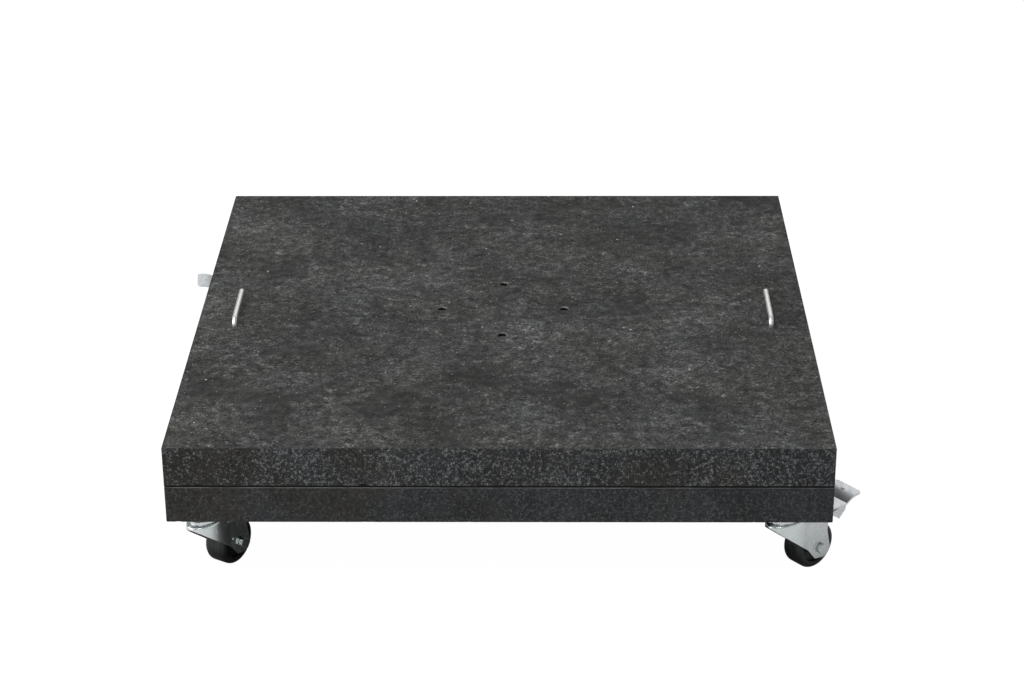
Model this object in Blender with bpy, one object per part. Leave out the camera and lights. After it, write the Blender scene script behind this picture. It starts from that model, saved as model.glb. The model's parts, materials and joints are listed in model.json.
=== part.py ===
"""Mobile granite base for a cantilever parasol.

Two square granite slabs lie one on the other and roll on four swivel casters.
Two U handles pull up out of the stone, and four threaded sleeves in the middle
take the mast's flange. The front right and rear left casters have a brake.

Metres, +Z up, front towards -Y, +X to the right. The origin is the centre of
the upper slab's top face, where the mast stands.
"""
import math

import bmesh
import bpy
from mathutils import Matrix, Vector

GAP = 0.0003                      # running gap between neighbouring pieces
PAST = 0.001                      # how far a cutter runs past the face it cuts

# stone
SLAB_SIDE = 0.700
UPPER_THICKNESS = 0.046
STONE_HEIGHT = 0.088
ARRIS = 0.0006                    # chamfer on the slabs' edges
FOOT_ROUND = 0.0015               # larger round along the lowest edges
FOOT_KNEE = 0.3                   # share of the round where its facet turns
LOWER_TOP = -(UPPER_THICKNESS + GAP)
UNDERSIDE = -STONE_HEIGHT

# mast fixing: a 100 mm square of sleeves, turned by 45 degrees
SLEEVE_CIRCLE = 0.100 / math.sqrt(2)
SLEEVE_HOLE = 0.0050
SLEEVE_HOLE_DEPTH = 0.032
COUNTERSINK = 0.0008
SLEEVE_OUTER = 0.0046
SLEEVE_BORE = 0.0034
SLEEVE_RECESS = 0.004
SLEEVE_LENGTH = 0.025
SLEEVE_LEAD = 0.0006              # chamfer at the mouth of the bore

# handles
HANDLE_X = 0.307
HANDLE_Y = -0.0075
HANDLE_SPAN = 0.086               # between the centres of the two legs
HANDLE_ROD = 0.0029
HANDLE_BEND = 0.008
HANDLE_RISE = 0.009               # bar centre above the stone at rest
HANDLE_FOOT = -0.0875
HANDLE_HOLE = 0.0035
HANDLE_WELL = 0.008               # clearance for the stop nut in the lower slab
STOP_NUT_BOTTOM = -0.0862
STOP_NUT_HEIGHT = 0.005
NUT_FLATS = 0.010                 # M6 nut and bolt head, across the flats
M6_CLEARANCE = 0.0033

# casters
CASTER_OFFSET = 0.310             # kingpin from the middle, in x and in y
TRAIL_ANGLES = {                  # direction from kingpin to axle, in degrees
    "front_right": 40.0,
    "front_left": 58.5,
    "rear_left": 187.0,
    "rear_right": 62.0,
}
BRAKED = ("front_right", "rear_left")
PLATE_SIDE = 0.060
PLATE_CORNER = 0.006
PLATE_SHEET = 0.0025
CUP_OUTER = 0.0115
CUP_DEPTH = 0.004
CUP_BEND = 0.001
SCREW_OFFSET = 0.024
SCREW_SHANK = 0.0029
SCREW_HOLE = 0.0033
SCREW_LENGTH = 0.020
SCREW_HOLE_DEPTH = 0.024
SCREW_HEAD = 0.0028
BALL_CIRCLE = 0.0142
BALL = 0.0022
BALL_COUNT = 12
BALL_NECK = 0.55                  # waist between two balls, as a share of a ball
BALL_SIDES = 6
KINGPIN = 0.0040
KINGPIN_HOLE = 0.0043
KINGPIN_HEAD = 0.0080
KINGPIN_HEAD_RISE = 0.0025
KINGPIN_RIVET = 0.0072
KINGPIN_RIVET_DROP = 0.0035

# fork, measured down from the stone and out from the kingpin along the trail
FORK_SHEET = 0.0022
NOSE_REACH = 0.0330               # kingpin to the tip of the skirt
CROWN_HALF = 0.0186
LEG_HALF = 0.0177
LEG_START = 0.014                 # where the sides have narrowed to the legs
LEG_END = 0.052                   # shell's tail, past the side view's edge
FORK_BOTTOM = -0.072              # shell's foot, past the side view's edge
FORK_WIDE = 0.030                 # half width of the cutters across the fork
ROOF_TOP = -0.0125                # ledge round the raised crown
NOSE_ROUND = 0.004                # shoulder over the skirt
SIDE_ROUND = 0.0010               # shoulder over the sides
CROWN_TOP = -0.0086
CROWN_END = 0.0195
CROWN_SET = 0.0008                # ledge between the shoulder and the crown's wall
CROWN_ROUND = 0.0012
RACE_TOP = -0.0071
RACE_RADIUS = 0.0173
RACE_LAP = 0.0012                 # how far the race overlaps the roof's hole
ROOF_CUT = (-0.030, -0.005)       # heights that the roof's cutters span
WINDOW_START = 0.020              # opening in the roof over the wheel
WINDOW_HALF = 0.014
AXLE_X = 0.0292
AXLE_Z = -0.0555
AXLE = 0.0030
AXLE_HOLE = 0.0033
AXLE_HEAD = 0.004
AXLE_NUT = 0.005
AXLE_END = 0.0015                 # thread showing past the nut
PIVOT_X = 0.032
PIVOT_Z = -0.020
PIVOT = 0.0025
PIVOT_HOLE = 0.0028
PIVOT_HEAD = 0.0038
PIVOT_HEAD_HEIGHT = 0.0015

# wheel
WHEEL_RADIUS = 0.0268
WHEEL_HALF = 0.0127
TREAD_ROUND = 0.005
WEB_HALF = 0.008
RIM_INNER = 0.0175
RIM_FLARE = 0.0015
HUB_RADIUS = 0.0075
HUB_HALF = LEG_HALF - FORK_SHEET - GAP

# pedal
PEDAL_SHEET = 0.002
PEDAL_HALF = 0.019
PEDAL_NECK = 0.013
PEDAL_HUB_HALF = 0.0134
PEDAL_CHEEK = 0.0127              # outer face of the cheeks between the blades
PEDAL_TIP = 0.0895
PEDAL_TOP = -0.0088               # middle of the sheet at the tip
PIP_RADIUS = 0.0022               # small dome pressed up near the pedal's tip
PIP_HEIGHT = 0.0009
PIP_FROM_TIP = 0.0095
PEDAL_CORNER = 0.0045
PEDAL_FLARE = 0.004
PEDAL_HUB = 0.005
LOWER_BLADE_TIP = 0.0765
LOWER_BLADE_LIP = 0.002           # plan past the tip, for the sheet's bend
LOWER_BLADE_HALF = 0.0145
LOWER_BLADE_CORNER = 0.008
FLANGE_SHEET = 0.0015             # side walls under the lower blade
LOBE_HALF = 0.011
LOBE_ROOT = 0.0045
LOBE_REACH = 0.0084
LOBE_ANGLE = math.radians(-77.0)

ROUND_STEPS = 24                  # facets around a wheel
RACE_STEPS = 20                   # facets around a cup or a ball race
SMALL_STEPS = 10                  # facets around a pin or a bolt hole
TINY_STEPS = 8                    # facets around a fixing screw or its hole
CORNER_STEPS = 2                  # facets along a rounded corner
BEND_STEPS = 5                    # facets along a bend of the handles
NOSE_STEPS = 5                    # facets round one side of the fork's nose
BLEND_STEPS = 3                   # facets where the fork narrows into its legs


# ---------------------------------------------------------------- outlines

def regular(radius, count):
    """Corners of a regular polygon."""
    angles = [2 * math.pi * step / count for step in range(count)]
    return [(radius * math.cos(angle), radius * math.sin(angle)) for angle in angles]


def hexagon(flats):
    return regular(flats / math.sqrt(3), 6)


def arc_at(before, corner, after, radius, steps):
    """Points of the arc that rounds one corner of a path."""
    into = (before - corner).normalized()
    out = (after - corner).normalized()
    half = into.angle(out) / 2
    centre = corner + (into + out).normalized() * (radius / math.sin(half))
    first = corner + into * (radius / math.tan(half)) - centre
    last = corner + out * (radius / math.tan(half)) - centre
    sweep = math.atan2(first.x * last.y - first.y * last.x, first.dot(last))
    points = []
    for step in range(steps + 1):
        turned = first.copy()
        turned.rotate(Matrix.Rotation(sweep * step / steps, 2))
        points.append(centre + turned)
    return points


def rounded(corners, steps=CORNER_STEPS, closed=True):
    """Path through (x, y, radius) corners, with each radius above 0 rounded."""
    spots = [Vector(corner[:2]) for corner in corners]
    path = []
    for index, (spot, corner) in enumerate(zip(spots, corners)):
        at_end = not closed and index in (0, len(corners) - 1)
        if corner[2] == 0 or at_end:
            path.append(spot)
            continue
        before = spots[index - 1]
        after = spots[(index + 1) % len(spots)]
        path.extend(arc_at(before, spot, after, corner[2], steps))
    return [(spot.x, spot.y) for spot in path]


def rectangle(x_low, x_high, half, radius=0.0):
    return rounded([
        (x_low, -half, radius), (x_high, -half, radius),
        (x_high, half, radius), (x_low, half, radius),
    ])


def thickened(path, thickness):
    """Closed outline of a sheet whose middle line is the open path."""
    spots = [Vector(spot) for spot in path]
    upper, lower = [], []
    for index, spot in enumerate(spots):
        back = spots[max(index - 1, 0)]
        ahead = spots[min(index + 1, len(spots) - 1)]
        along = (ahead - back).normalized()
        side = Vector((-along.y, along.x)) * (thickness / 2)
        upper.append(tuple(spot + side))
        lower.append(tuple(spot - side))
    return upper + lower[::-1]


# ---------------------------------------------------------------- solids

def tidy(bm):
    bmesh.ops.recalc_face_normals(bm, faces=bm.faces)
    return bm


def stack(levels):
    """Solid through a pile of outlines: each level is (outline, z)."""
    bm = bmesh.new()
    rings = [[bm.verts.new((x, y, z)) for x, y in outline] for outline, z in levels]
    count = len(rings[0])
    for lower, upper in zip(rings, rings[1:]):
        for index in range(count):
            after = (index + 1) % count
            bm.faces.new((lower[index], lower[after], upper[after], upper[index]))
    bm.faces.new(rings[0])
    bm.faces.new(rings[-1])
    return tidy(bm)


def prism(outline, low, high):
    return stack([(outline, low), (outline, high)])


def rod(radius, low, high, count=SMALL_STEPS):
    return prism(regular(radius, count), low, high)


def lathe(profile, count=ROUND_STEPS):
    """Turn a closed outline of (radius, z) points about the z axis."""
    bm = bmesh.new()
    columns = []
    for step in range(count):
        angle = 2 * math.pi * step / count
        turned = [(r * math.cos(angle), r * math.sin(angle), z) for r, z in profile]
        columns.append([bm.verts.new(spot) for spot in turned])
    size = len(profile)
    for step in range(count):
        here, there = columns[step], columns[(step + 1) % count]
        for index in range(size):
            after = (index + 1) % size
            bm.faces.new((here[index], there[index], there[after], here[after]))
    bmesh.ops.remove_doubles(bm, verts=bm.verts, dist=1e-7)
    return tidy(bm)


def moved(bm, x=0.0, y=0.0, z=0.0):
    bmesh.ops.translate(bm, verts=bm.verts, vec=(x, y, z))
    return bm


def along_y(bm):
    """Turn a solid so that its +z points along -y and its outline's y is up."""
    bmesh.ops.rotate(bm, verts=bm.verts, matrix=Matrix.Rotation(math.pi / 2, 3, "X"))
    return bm


def loose_object(name, bm):
    mesh = bpy.data.meshes.new(name)
    bm.to_mesh(mesh)
    bm.free()
    made = bpy.data.objects.new(name, mesh)
    bpy.context.collection.objects.link(made)
    return made


def combined(base, steps):
    """Exact Booleans, one after the other, on a solid; gives a mesh."""
    body = loose_object("blank", base)
    tools = []
    for operation, tool in steps:
        cutter = loose_object("tool", tool)
        cutter.hide_render = True
        cutter.display_type = "WIRE"
        boolean = body.modifiers.new(operation.lower(), "BOOLEAN")
        boolean.operation = operation
        boolean.solver = "EXACT"
        boolean.object = cutter
        tools.append(cutter)
    seen = body.evaluated_get(bpy.context.evaluated_depsgraph_get())
    mesh = bpy.data.meshes.new_from_object(seen)
    for used in tools + [body]:
        bpy.data.objects.remove(used)
    return mesh


def plain(bm):
    mesh = bpy.data.meshes.new("solid")
    bm.to_mesh(mesh)
    bm.free()
    return mesh


def reopened(mesh):
    bm = bmesh.new()
    bm.from_mesh(mesh)
    return bm


# ---------------------------------------------------------------- stone

def slab_blank(top, bottom, foot):
    """Square block with chamfered edges; foot is the round of the lowest ones."""
    half = SLAB_SIDE / 2

    def square(inset):
        corner = ARRIS
        side = half - inset
        return [
            (-side + corner, -side), (side - corner, -side),
            (side, -side + corner), (side, side - corner),
            (side - corner, side), (-side + corner, side),
            (-side, side - corner), (-side, -side + corner),
        ]

    levels = [(square(foot), bottom)]
    if foot > ARRIS:
        levels.append((square(foot * FOOT_KNEE), bottom + foot * FOOT_KNEE))
    levels += [(square(0), bottom + foot), (square(0), top - ARRIS), (square(ARRIS), top)]
    return stack(levels)


def sleeve_places():
    return [(math.cos(turn) * SLEEVE_CIRCLE, math.sin(turn) * SLEEVE_CIRCLE)
            for turn in (0, math.pi / 2, math.pi, 3 * math.pi / 2)]


def handle_leg_places():
    return [(side * HANDLE_X, HANDLE_Y + end * HANDLE_SPAN / 2)
            for side in (-1, 1) for end in (-1, 1)]


def screw_places():
    return [(x * SCREW_OFFSET, y * SCREW_OFFSET) for x in (-1, 1) for y in (-1, 1)]


def caster_place(corner):
    depth, side = corner.split("_")
    x = CASTER_OFFSET if side == "right" else -CASTER_OFFSET
    y = CASTER_OFFSET if depth == "rear" else -CASTER_OFFSET
    return x, y


def upper_slab_mesh():
    hole = [
        (0, -SLEEVE_HOLE_DEPTH), (SLEEVE_HOLE, -SLEEVE_HOLE_DEPTH),
        (SLEEVE_HOLE, -COUNTERSINK), (SLEEVE_HOLE + 2 * COUNTERSINK, COUNTERSINK),
        (0, COUNTERSINK),
    ]
    cuts = [("DIFFERENCE", moved(lathe(hole, SMALL_STEPS), x, y))
            for x, y in sleeve_places()]
    for x, y in handle_leg_places():
        drill = rod(HANDLE_HOLE, -UPPER_THICKNESS - PAST, PAST)
        cuts.append(("DIFFERENCE", moved(drill, x, y)))
    return combined(slab_blank(0.0, -UPPER_THICKNESS, ARRIS), cuts)


def lower_slab_mesh():
    cuts = []
    for x, y in handle_leg_places():
        well = rod(HANDLE_WELL, UNDERSIDE - PAST, LOWER_TOP + PAST)
        cuts.append(("DIFFERENCE", moved(well, x, y)))
    for corner in TRAIL_ANGLES:
        caster_x, caster_y = caster_place(corner)
        for x, y in screw_places():
            drill = rod(SCREW_HOLE, UNDERSIDE - PAST, UNDERSIDE + SCREW_HOLE_DEPTH, TINY_STEPS)
            cuts.append(("DIFFERENCE", moved(drill, caster_x + x, caster_y + y)))
    return combined(slab_blank(LOWER_TOP, UNDERSIDE, FOOT_ROUND), cuts)


def sleeve_mesh():
    """Threaded sleeve, its top face at z = 0."""
    return plain(lathe([
        (SLEEVE_BORE + SLEEVE_LEAD, 0), (SLEEVE_OUTER, 0), (SLEEVE_OUTER, -SLEEVE_LENGTH),
        (SLEEVE_BORE, -SLEEVE_LENGTH), (SLEEVE_BORE, -SLEEVE_LEAD),
    ], SMALL_STEPS))


# ---------------------------------------------------------------- handles

def handle_mesh():
    """Round bar bent to a U in the y-z plane, at its place over the stone."""
    near, far = -HANDLE_SPAN / 2, HANDLE_SPAN / 2
    path = rounded([
        (near, HANDLE_FOOT, 0), (near, HANDLE_RISE, HANDLE_BEND),
        (far, HANDLE_RISE, HANDLE_BEND), (far, HANDLE_FOOT, 0),
    ], BEND_STEPS, closed=False)
    bm = bmesh.new()
    rings = []
    for index, spot in enumerate(path):
        back = Vector(path[max(index - 1, 0)])
        ahead = Vector(path[min(index + 1, len(path) - 1)])
        along = (ahead - back).normalized()
        ring = []
        for out, side in regular(HANDLE_ROD, SMALL_STEPS):
            place = (out, spot[0] - along.y * side, spot[1] + along.x * side)
            ring.append(bm.verts.new(place))
        rings.append(ring)
    for here, there in zip(rings, rings[1:]):
        for index in range(len(here)):
            after = (index + 1) % len(here)
            bm.faces.new((here[index], here[after], there[after], there[index]))
    bm.faces.new(rings[0])
    bm.faces.new(rings[-1])
    return plain(tidy(bm))


def nut_mesh(height):
    """Hexagon nut between z = 0 and its height."""
    return combined(prism(hexagon(NUT_FLATS), 0, height),
                    [("DIFFERENCE", rod(M6_CLEARANCE, -PAST, height + PAST))])


# ---------------------------------------------------------------- casters

def plate_mesh():
    """Square top plate with a cup pressed down inside the ball race."""
    top = -GAP
    under = top - PLATE_SHEET
    floor = under - CUP_DEPTH
    half = PLATE_SIDE / 2
    cup = [
        (KINGPIN_HOLE, floor), (CUP_OUTER - CUP_BEND, floor), (CUP_OUTER, floor + CUP_BEND),
        (CUP_OUTER, top), (CUP_OUTER - PLATE_SHEET, top),
        (CUP_OUTER - PLATE_SHEET, floor + PLATE_SHEET), (KINGPIN_HOLE, floor + PLATE_SHEET),
    ]
    steps = [
        ("DIFFERENCE", rod(CUP_OUTER - CUP_BEND, under - PAST, top + PAST, RACE_STEPS)),
        ("UNION", lathe(cup, RACE_STEPS)),
    ]
    for x, y in screw_places():
        drill = rod(SCREW_HOLE, under - PAST, top + PAST, TINY_STEPS)
        steps.append(("DIFFERENCE", moved(drill, x, y)))
    return combined(prism(rectangle(-half, half, half, PLATE_CORNER), under, top), steps)


def ball_ring_mesh():
    """Bearing balls as one string of beads, centred on z = 0."""
    bm = bmesh.new()
    count = 2 * BALL_COUNT
    rings = []
    for step in range(count):
        angle = 2 * math.pi * step / count
        size = BALL if step % 2 == 0 else BALL * BALL_NECK
        ring = []
        for out, up in regular(size, BALL_SIDES):
            reach = BALL_CIRCLE + out
            place = (reach * math.cos(angle), reach * math.sin(angle), up)
            ring.append(bm.verts.new(place))
        rings.append(ring)
    for step in range(count):
        here, there = rings[step], rings[(step + 1) % count]
        for index in range(BALL_SIDES):
            after = (index + 1) % BALL_SIDES
            bm.faces.new((here[index], here[after], there[after], there[index]))
    return plain(tidy(bm))


def kingpin_mesh():
    """Rivet through the plate's cup and the fork's crown."""
    seat = -CUP_DEPTH
    under = RACE_TOP - FORK_SHEET - GAP
    crown = 0.0005
    shoulder = 0.0020
    return plain(lathe([
        (0, seat + KINGPIN_HEAD_RISE), (KINGPIN_HEAD, seat + KINGPIN_HEAD_RISE - crown),
        (KINGPIN_HEAD, seat), (KINGPIN, seat), (KINGPIN, under), (KINGPIN_RIVET, under),
        (KINGPIN_RIVET, under - shoulder + crown),
        (KINGPIN_RIVET - shoulder, under - KINGPIN_RIVET_DROP + crown),
        (0, under - KINGPIN_RIVET_DROP),
    ], SMALL_STEPS))


def fork_plan(inset, nose_round=0.0, side_round=0.0, end=LEG_END):
    """Plan of the fork: a long rounded nose whose sides narrow into flat legs."""
    reach = NOSE_REACH - inset - nose_round
    half = CROWN_HALF - inset - side_round
    leg = LEG_HALF - inset - side_round
    side = []
    for step in range(NOSE_STEPS + 1):
        turn = math.pi / 2 * step / NOSE_STEPS
        side.append((-reach * math.cos(turn), half * math.sin(turn)))
    for step in range(1, BLEND_STEPS + 1):
        t = step / BLEND_STEPS
        side.append((LEG_START * t, half + (leg - half) * (3 * t**2 - 2 * t**3)))
    side.append((end - inset, leg))
    return [(x, -y) for x, y in reversed(side[1:])] + side


def fork_shell_levels(inset, bottom, nose_round, side_round):
    """Levels of the fork's outer or inner surface, up to a rounded shoulder."""
    roof = ROOF_TOP - inset
    levels = [(fork_plan(inset), bottom), (fork_plan(inset), roof - nose_round)]
    for step in range(1, CORNER_STEPS + 1):
        turn = math.pi / 2 * step / CORNER_STEPS
        out = 1 - math.cos(turn)
        plan = fork_plan(inset, nose_round * out, side_round * out)
        levels.append((plan, roof - nose_round + nose_round * math.sin(turn)))
    return levels


def crown_levels():
    """Levels of the raised crown that stands on the fork's roof."""
    wall = fork_plan(CROWN_SET, NOSE_ROUND, SIDE_ROUND, CROWN_END)
    rim = fork_plan(CROWN_SET + CROWN_ROUND, NOSE_ROUND, SIDE_ROUND, CROWN_END)
    return [(wall, ROOF_TOP), (wall, CROWN_TOP - CROWN_ROUND), (rim, CROWN_TOP)]


def fork_side():
    """Side view of the fork as (along the trail, height, corner radius)."""
    return rounded([
        (-0.0360, -0.0050, 0), (-0.0360, -0.0140, 0), (-0.0230, -0.0252, 0.030),
        (0.0118, -0.0532, 0.012), (0.0222, -0.0668, 0.003), (0.0385, -0.0695, 0.008),
        (0.0450, -0.0605, 0.008), (0.0395, -0.0370, 0.020), (0.0405, -0.0250, 0.010),
        (0.0385, -0.0120, 0.004), (0.0300, -0.0120, 0), (0.0300, -0.0050, 0),
    ])


def crown_race():
    """Section of the raised ball race on the fork's crown."""
    sheet = FORK_SHEET
    outer = RACE_RADIUS
    low = ROOF_TOP - sheet + 0.0002
    return [
        (KINGPIN_HOLE, RACE_TOP), (0.0103, RACE_TOP), (BALL_CIRCLE, RACE_TOP - 0.0010),
        (0.0167, RACE_TOP - 0.0003), (outer, RACE_TOP - 0.0013), (outer, low),
        (outer - sheet, low), (outer - sheet, RACE_TOP - 0.0036),
        (0.0100, RACE_TOP - sheet), (KINGPIN_HOLE, RACE_TOP - sheet),
    ]


def fork_mesh():
    """Pressed fork, its origin on the kingpin's axis at the stone's underside."""
    across = (-FORK_WIDE, FORK_WIDE)
    shell = fork_shell_levels(0, FORK_BOTTOM, NOSE_ROUND, SIDE_ROUND)
    outer = stack(shell + crown_levels())
    inner = stack(fork_shell_levels(FORK_SHEET, FORK_BOTTOM - PAST, NOSE_ROUND / 2,
                                    SIDE_ROUND / 2))
    window = prism(rectangle(WINDOW_START, LEG_END, WINDOW_HALF), *ROOF_CUT)
    axle_hole = moved(along_y(rod(AXLE_HOLE, *across)), AXLE_X, 0, AXLE_Z)
    pivot_hole = moved(along_y(rod(PIVOT_HOLE, *across)), PIVOT_X, 0, PIVOT_Z)
    race_hole = rod(RACE_RADIUS - RACE_LAP, *ROOF_CUT, RACE_STEPS)
    return combined(outer, [
        ("DIFFERENCE", inner),
        ("INTERSECT", along_y(prism(fork_side(), *across))),
        ("DIFFERENCE", window),
        ("DIFFERENCE", race_hole),
        ("UNION", lathe(crown_race(), RACE_STEPS)),
        ("DIFFERENCE", axle_hole),
        ("DIFFERENCE", pivot_hole),
    ])


def wheel_mesh():
    """Moulded wheel about the y axis, its origin in its middle."""
    half_profile = [
        (AXLE_HOLE, HUB_HALF, 0), (HUB_RADIUS, HUB_HALF, 0), (HUB_RADIUS, WEB_HALF, 0),
        (RIM_INNER, WEB_HALF, 0), (RIM_INNER + RIM_FLARE, WHEEL_HALF, 0),
        (WHEEL_RADIUS, WHEEL_HALF, TREAD_ROUND),
    ]
    other_half = [(r, -z, rounding) for r, z, rounding in reversed(half_profile)]
    return plain(along_y(lathe(rounded(half_profile + other_half))))


def axle_bolt_mesh():
    """Hexagon bolt along y with its head on the -y side, about the origin."""
    seat = LEG_HALF + GAP
    head = prism(hexagon(NUT_FLATS), seat, seat + AXLE_HEAD)
    shank = rod(AXLE, -seat - AXLE_NUT - AXLE_END, seat + PAST)
    return combined(along_y(head), [("UNION", along_y(shank))])


def screw_mesh():
    """Hexagon screw, its origin on the stone's underside."""
    seat = -GAP - PLATE_SHEET - GAP
    head = prism(hexagon(NUT_FLATS), seat - SCREW_HEAD, seat)
    shank = rod(SCREW_SHANK, seat - PAST, SCREW_LENGTH, TINY_STEPS)
    return combined(head, [("UNION", shank)])


# ---------------------------------------------------------------- brakes

def pedal_blade(side_path, plan):
    """Bent sheet along a side view's path, trimmed to a plan; about the pivot."""
    centred = [(x - PIVOT_X, z - PIVOT_Z, bend) for x, z, bend in side_path]
    section = thickened(rounded(centred, closed=False), PEDAL_SHEET)
    wide = PEDAL_HALF + PAST
    sheet = along_y(prism(section, -wide, wide))
    trim = prism([(x - PIVOT_X, y) for x, y in plan], -wide, wide)
    return reopened(combined(sheet, [("INTERSECT", trim)]))


def pedal_plan(tip, half, corner):
    """Plan of one pedal blade: a neck between the legs, then its full width."""
    start, neck_end, shoulder = 0.028, 0.044, 0.055
    return rounded([
        (start, -PEDAL_NECK, 0), (neck_end, -PEDAL_NECK, PEDAL_FLARE),
        (shoulder, -half, PEDAL_FLARE), (tip, -half, corner),
        (tip, half, corner), (shoulder, half, PEDAL_FLARE),
        (neck_end, PEDAL_NECK, PEDAL_FLARE), (start, PEDAL_NECK, 0),
    ])


def pedal_mesh():
    """Brake pedal of two blades with cheeks, hub and lobe, about its pivot."""
    step = pedal_blade([
        (0.0310, -0.0160, 0), (0.0665, -0.0148, 0.0015), (0.0760, PEDAL_TOP, 0.012),
        (PEDAL_TIP, PEDAL_TOP, 0),
    ], pedal_plan(PEDAL_TIP, PEDAL_HALF, PEDAL_CORNER))
    nose = pedal_blade([
        (0.0310, -0.0242, 0), (0.0560, -0.0215, 0.020), (LOWER_BLADE_TIP, -0.0165, 0.003),
        (0.0600, -0.0320, 0),
    ], pedal_plan(LOWER_BLADE_TIP + LOWER_BLADE_LIP, LOWER_BLADE_HALF, LOWER_BLADE_CORNER))
    hub = along_y(rod(PEDAL_HUB, -PEDAL_HUB_HALF, PEDAL_HUB_HALF))
    bore = along_y(rod(PIVOT_HOLE, -PEDAL_HALF, PEDAL_HALF))
    cheek_side = [
        (x - PIVOT_X, z - PIVOT_Z) for x, z in
        [(0.0315, -0.0160), (0.0550, -0.0146), (0.0600, -0.0206), (0.0315, -0.0242)]
    ]
    flange_side = [
        (x - PIVOT_X, z - PIVOT_Z) for x, z in
        [(0.0470, -0.0228), (0.0705, -0.0180), (0.0700, -0.0235), (0.0640, -0.0292),
         (0.0560, -0.0296)]
    ]
    face = PEDAL_TOP + PEDAL_SHEET / 2 - PIVOT_Z
    pip = [(0, face - PIP_HEIGHT), (PIP_RADIUS, face - PIP_HEIGHT), (PIP_RADIUS, face),
           (PIP_RADIUS * 0.6, face + PIP_HEIGHT * 0.8), (0, face + PIP_HEIGHT)]
    lobe_side = [
        (math.cos(LOBE_ANGLE + spread) * reach, math.sin(LOBE_ANGLE + spread) * reach)
        for spread, reach in
        [(-0.9, LOBE_ROOT), (-0.12, LOBE_REACH), (0.12, LOBE_REACH), (0.9, LOBE_ROOT)]
    ]
    lobe = along_y(prism(lobe_side, -LOBE_HALF, LOBE_HALF))
    steps = [("UNION", nose), ("UNION", hub)]
    for side in (-1, 1):
        edges = sorted((side * PEDAL_CHEEK, side * (PEDAL_CHEEK - PEDAL_SHEET)))
        steps.append(("UNION", along_y(prism(cheek_side, *edges))))
        edges = sorted((side * LOWER_BLADE_HALF, side * (LOWER_BLADE_HALF - FLANGE_SHEET)))
        steps.append(("UNION", along_y(prism(flange_side, *edges))))
    steps += [
        ("UNION", lobe),
        ("DIFFERENCE", bore),
        ("UNION", moved(lathe(pip, SMALL_STEPS), PEDAL_TIP - PIP_FROM_TIP - PIVOT_X)),
    ]
    return combined(step, steps)


def pedal_pin_mesh():
    """Rivet along y through both legs and the pedal's hub."""
    seat = LEG_HALF + GAP
    end = seat + PIVOT_HEAD_HEIGHT
    return plain(along_y(lathe([
        (0, -end), (PIVOT_HEAD, -end), (PIVOT_HEAD, -seat), (PIVOT, -seat),
        (PIVOT, seat), (PIVOT_HEAD, seat), (PIVOT_HEAD, end), (0, end),
    ], SMALL_STEPS)))


# ---------------------------------------------------------------- assembly

def material(name, colour, roughness, metallic):
    made = bpy.data.materials.new(name)
    made.use_nodes = True
    shader = made.node_tree.nodes["Principled BSDF"]
    shader.inputs["Base Color"].default_value = (*colour, 1.0)
    shader.inputs["Roughness"].default_value = roughness
    shader.inputs["Metallic"].default_value = metallic
    return made


def finished(mesh, look):
    """Give a mesh its material and smooth its round stretches."""
    mesh.materials.clear()
    mesh.materials.append(look)
    mesh.shade_smooth()
    mesh.set_sharp_from_angle(angle=math.radians(35.0))
    return mesh


def empty(name, parent=None, at=(0.0, 0.0, 0.0), turn=0.0):
    made = bpy.data.objects.new(name, None)
    made.location = at
    made.rotation_euler = (0.0, 0.0, turn)
    made.parent = parent
    bpy.context.collection.objects.link(made)
    return made


def add(name, mesh, parent=None, at=(0.0, 0.0, 0.0)):
    made = bpy.data.objects.new(name, mesh)
    made.location = at
    made.parent = parent
    bpy.context.collection.objects.link(made)
    return made


def add_stone(stone):
    add("upper_slab", finished(upper_slab_mesh(), stone))
    add("lower_slab", finished(lower_slab_mesh(), stone))


def add_mast_sleeves(steel):
    mesh = finished(sleeve_mesh(), steel)
    for number, (x, y) in enumerate(sleeve_places(), 1):
        add(f"mast_sleeve_{number}", mesh, at=(x, y, -SLEEVE_RECESS))


def add_handles(bright_steel, zinc):
    bar = finished(handle_mesh(), bright_steel)
    nut = finished(nut_mesh(STOP_NUT_HEIGHT), zinc)
    for side, x in (("left", -HANDLE_X), ("right", HANDLE_X)):
        handle = add(f"handle_{side}", bar, at=(x, HANDLE_Y, 0.0))
        for end, y in (("front", -HANDLE_SPAN / 2), ("rear", HANDLE_SPAN / 2)):
            add(f"stop_nut_{side}_{end}", nut, handle, (0.0, y, STOP_NUT_BOTTOM))


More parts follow.
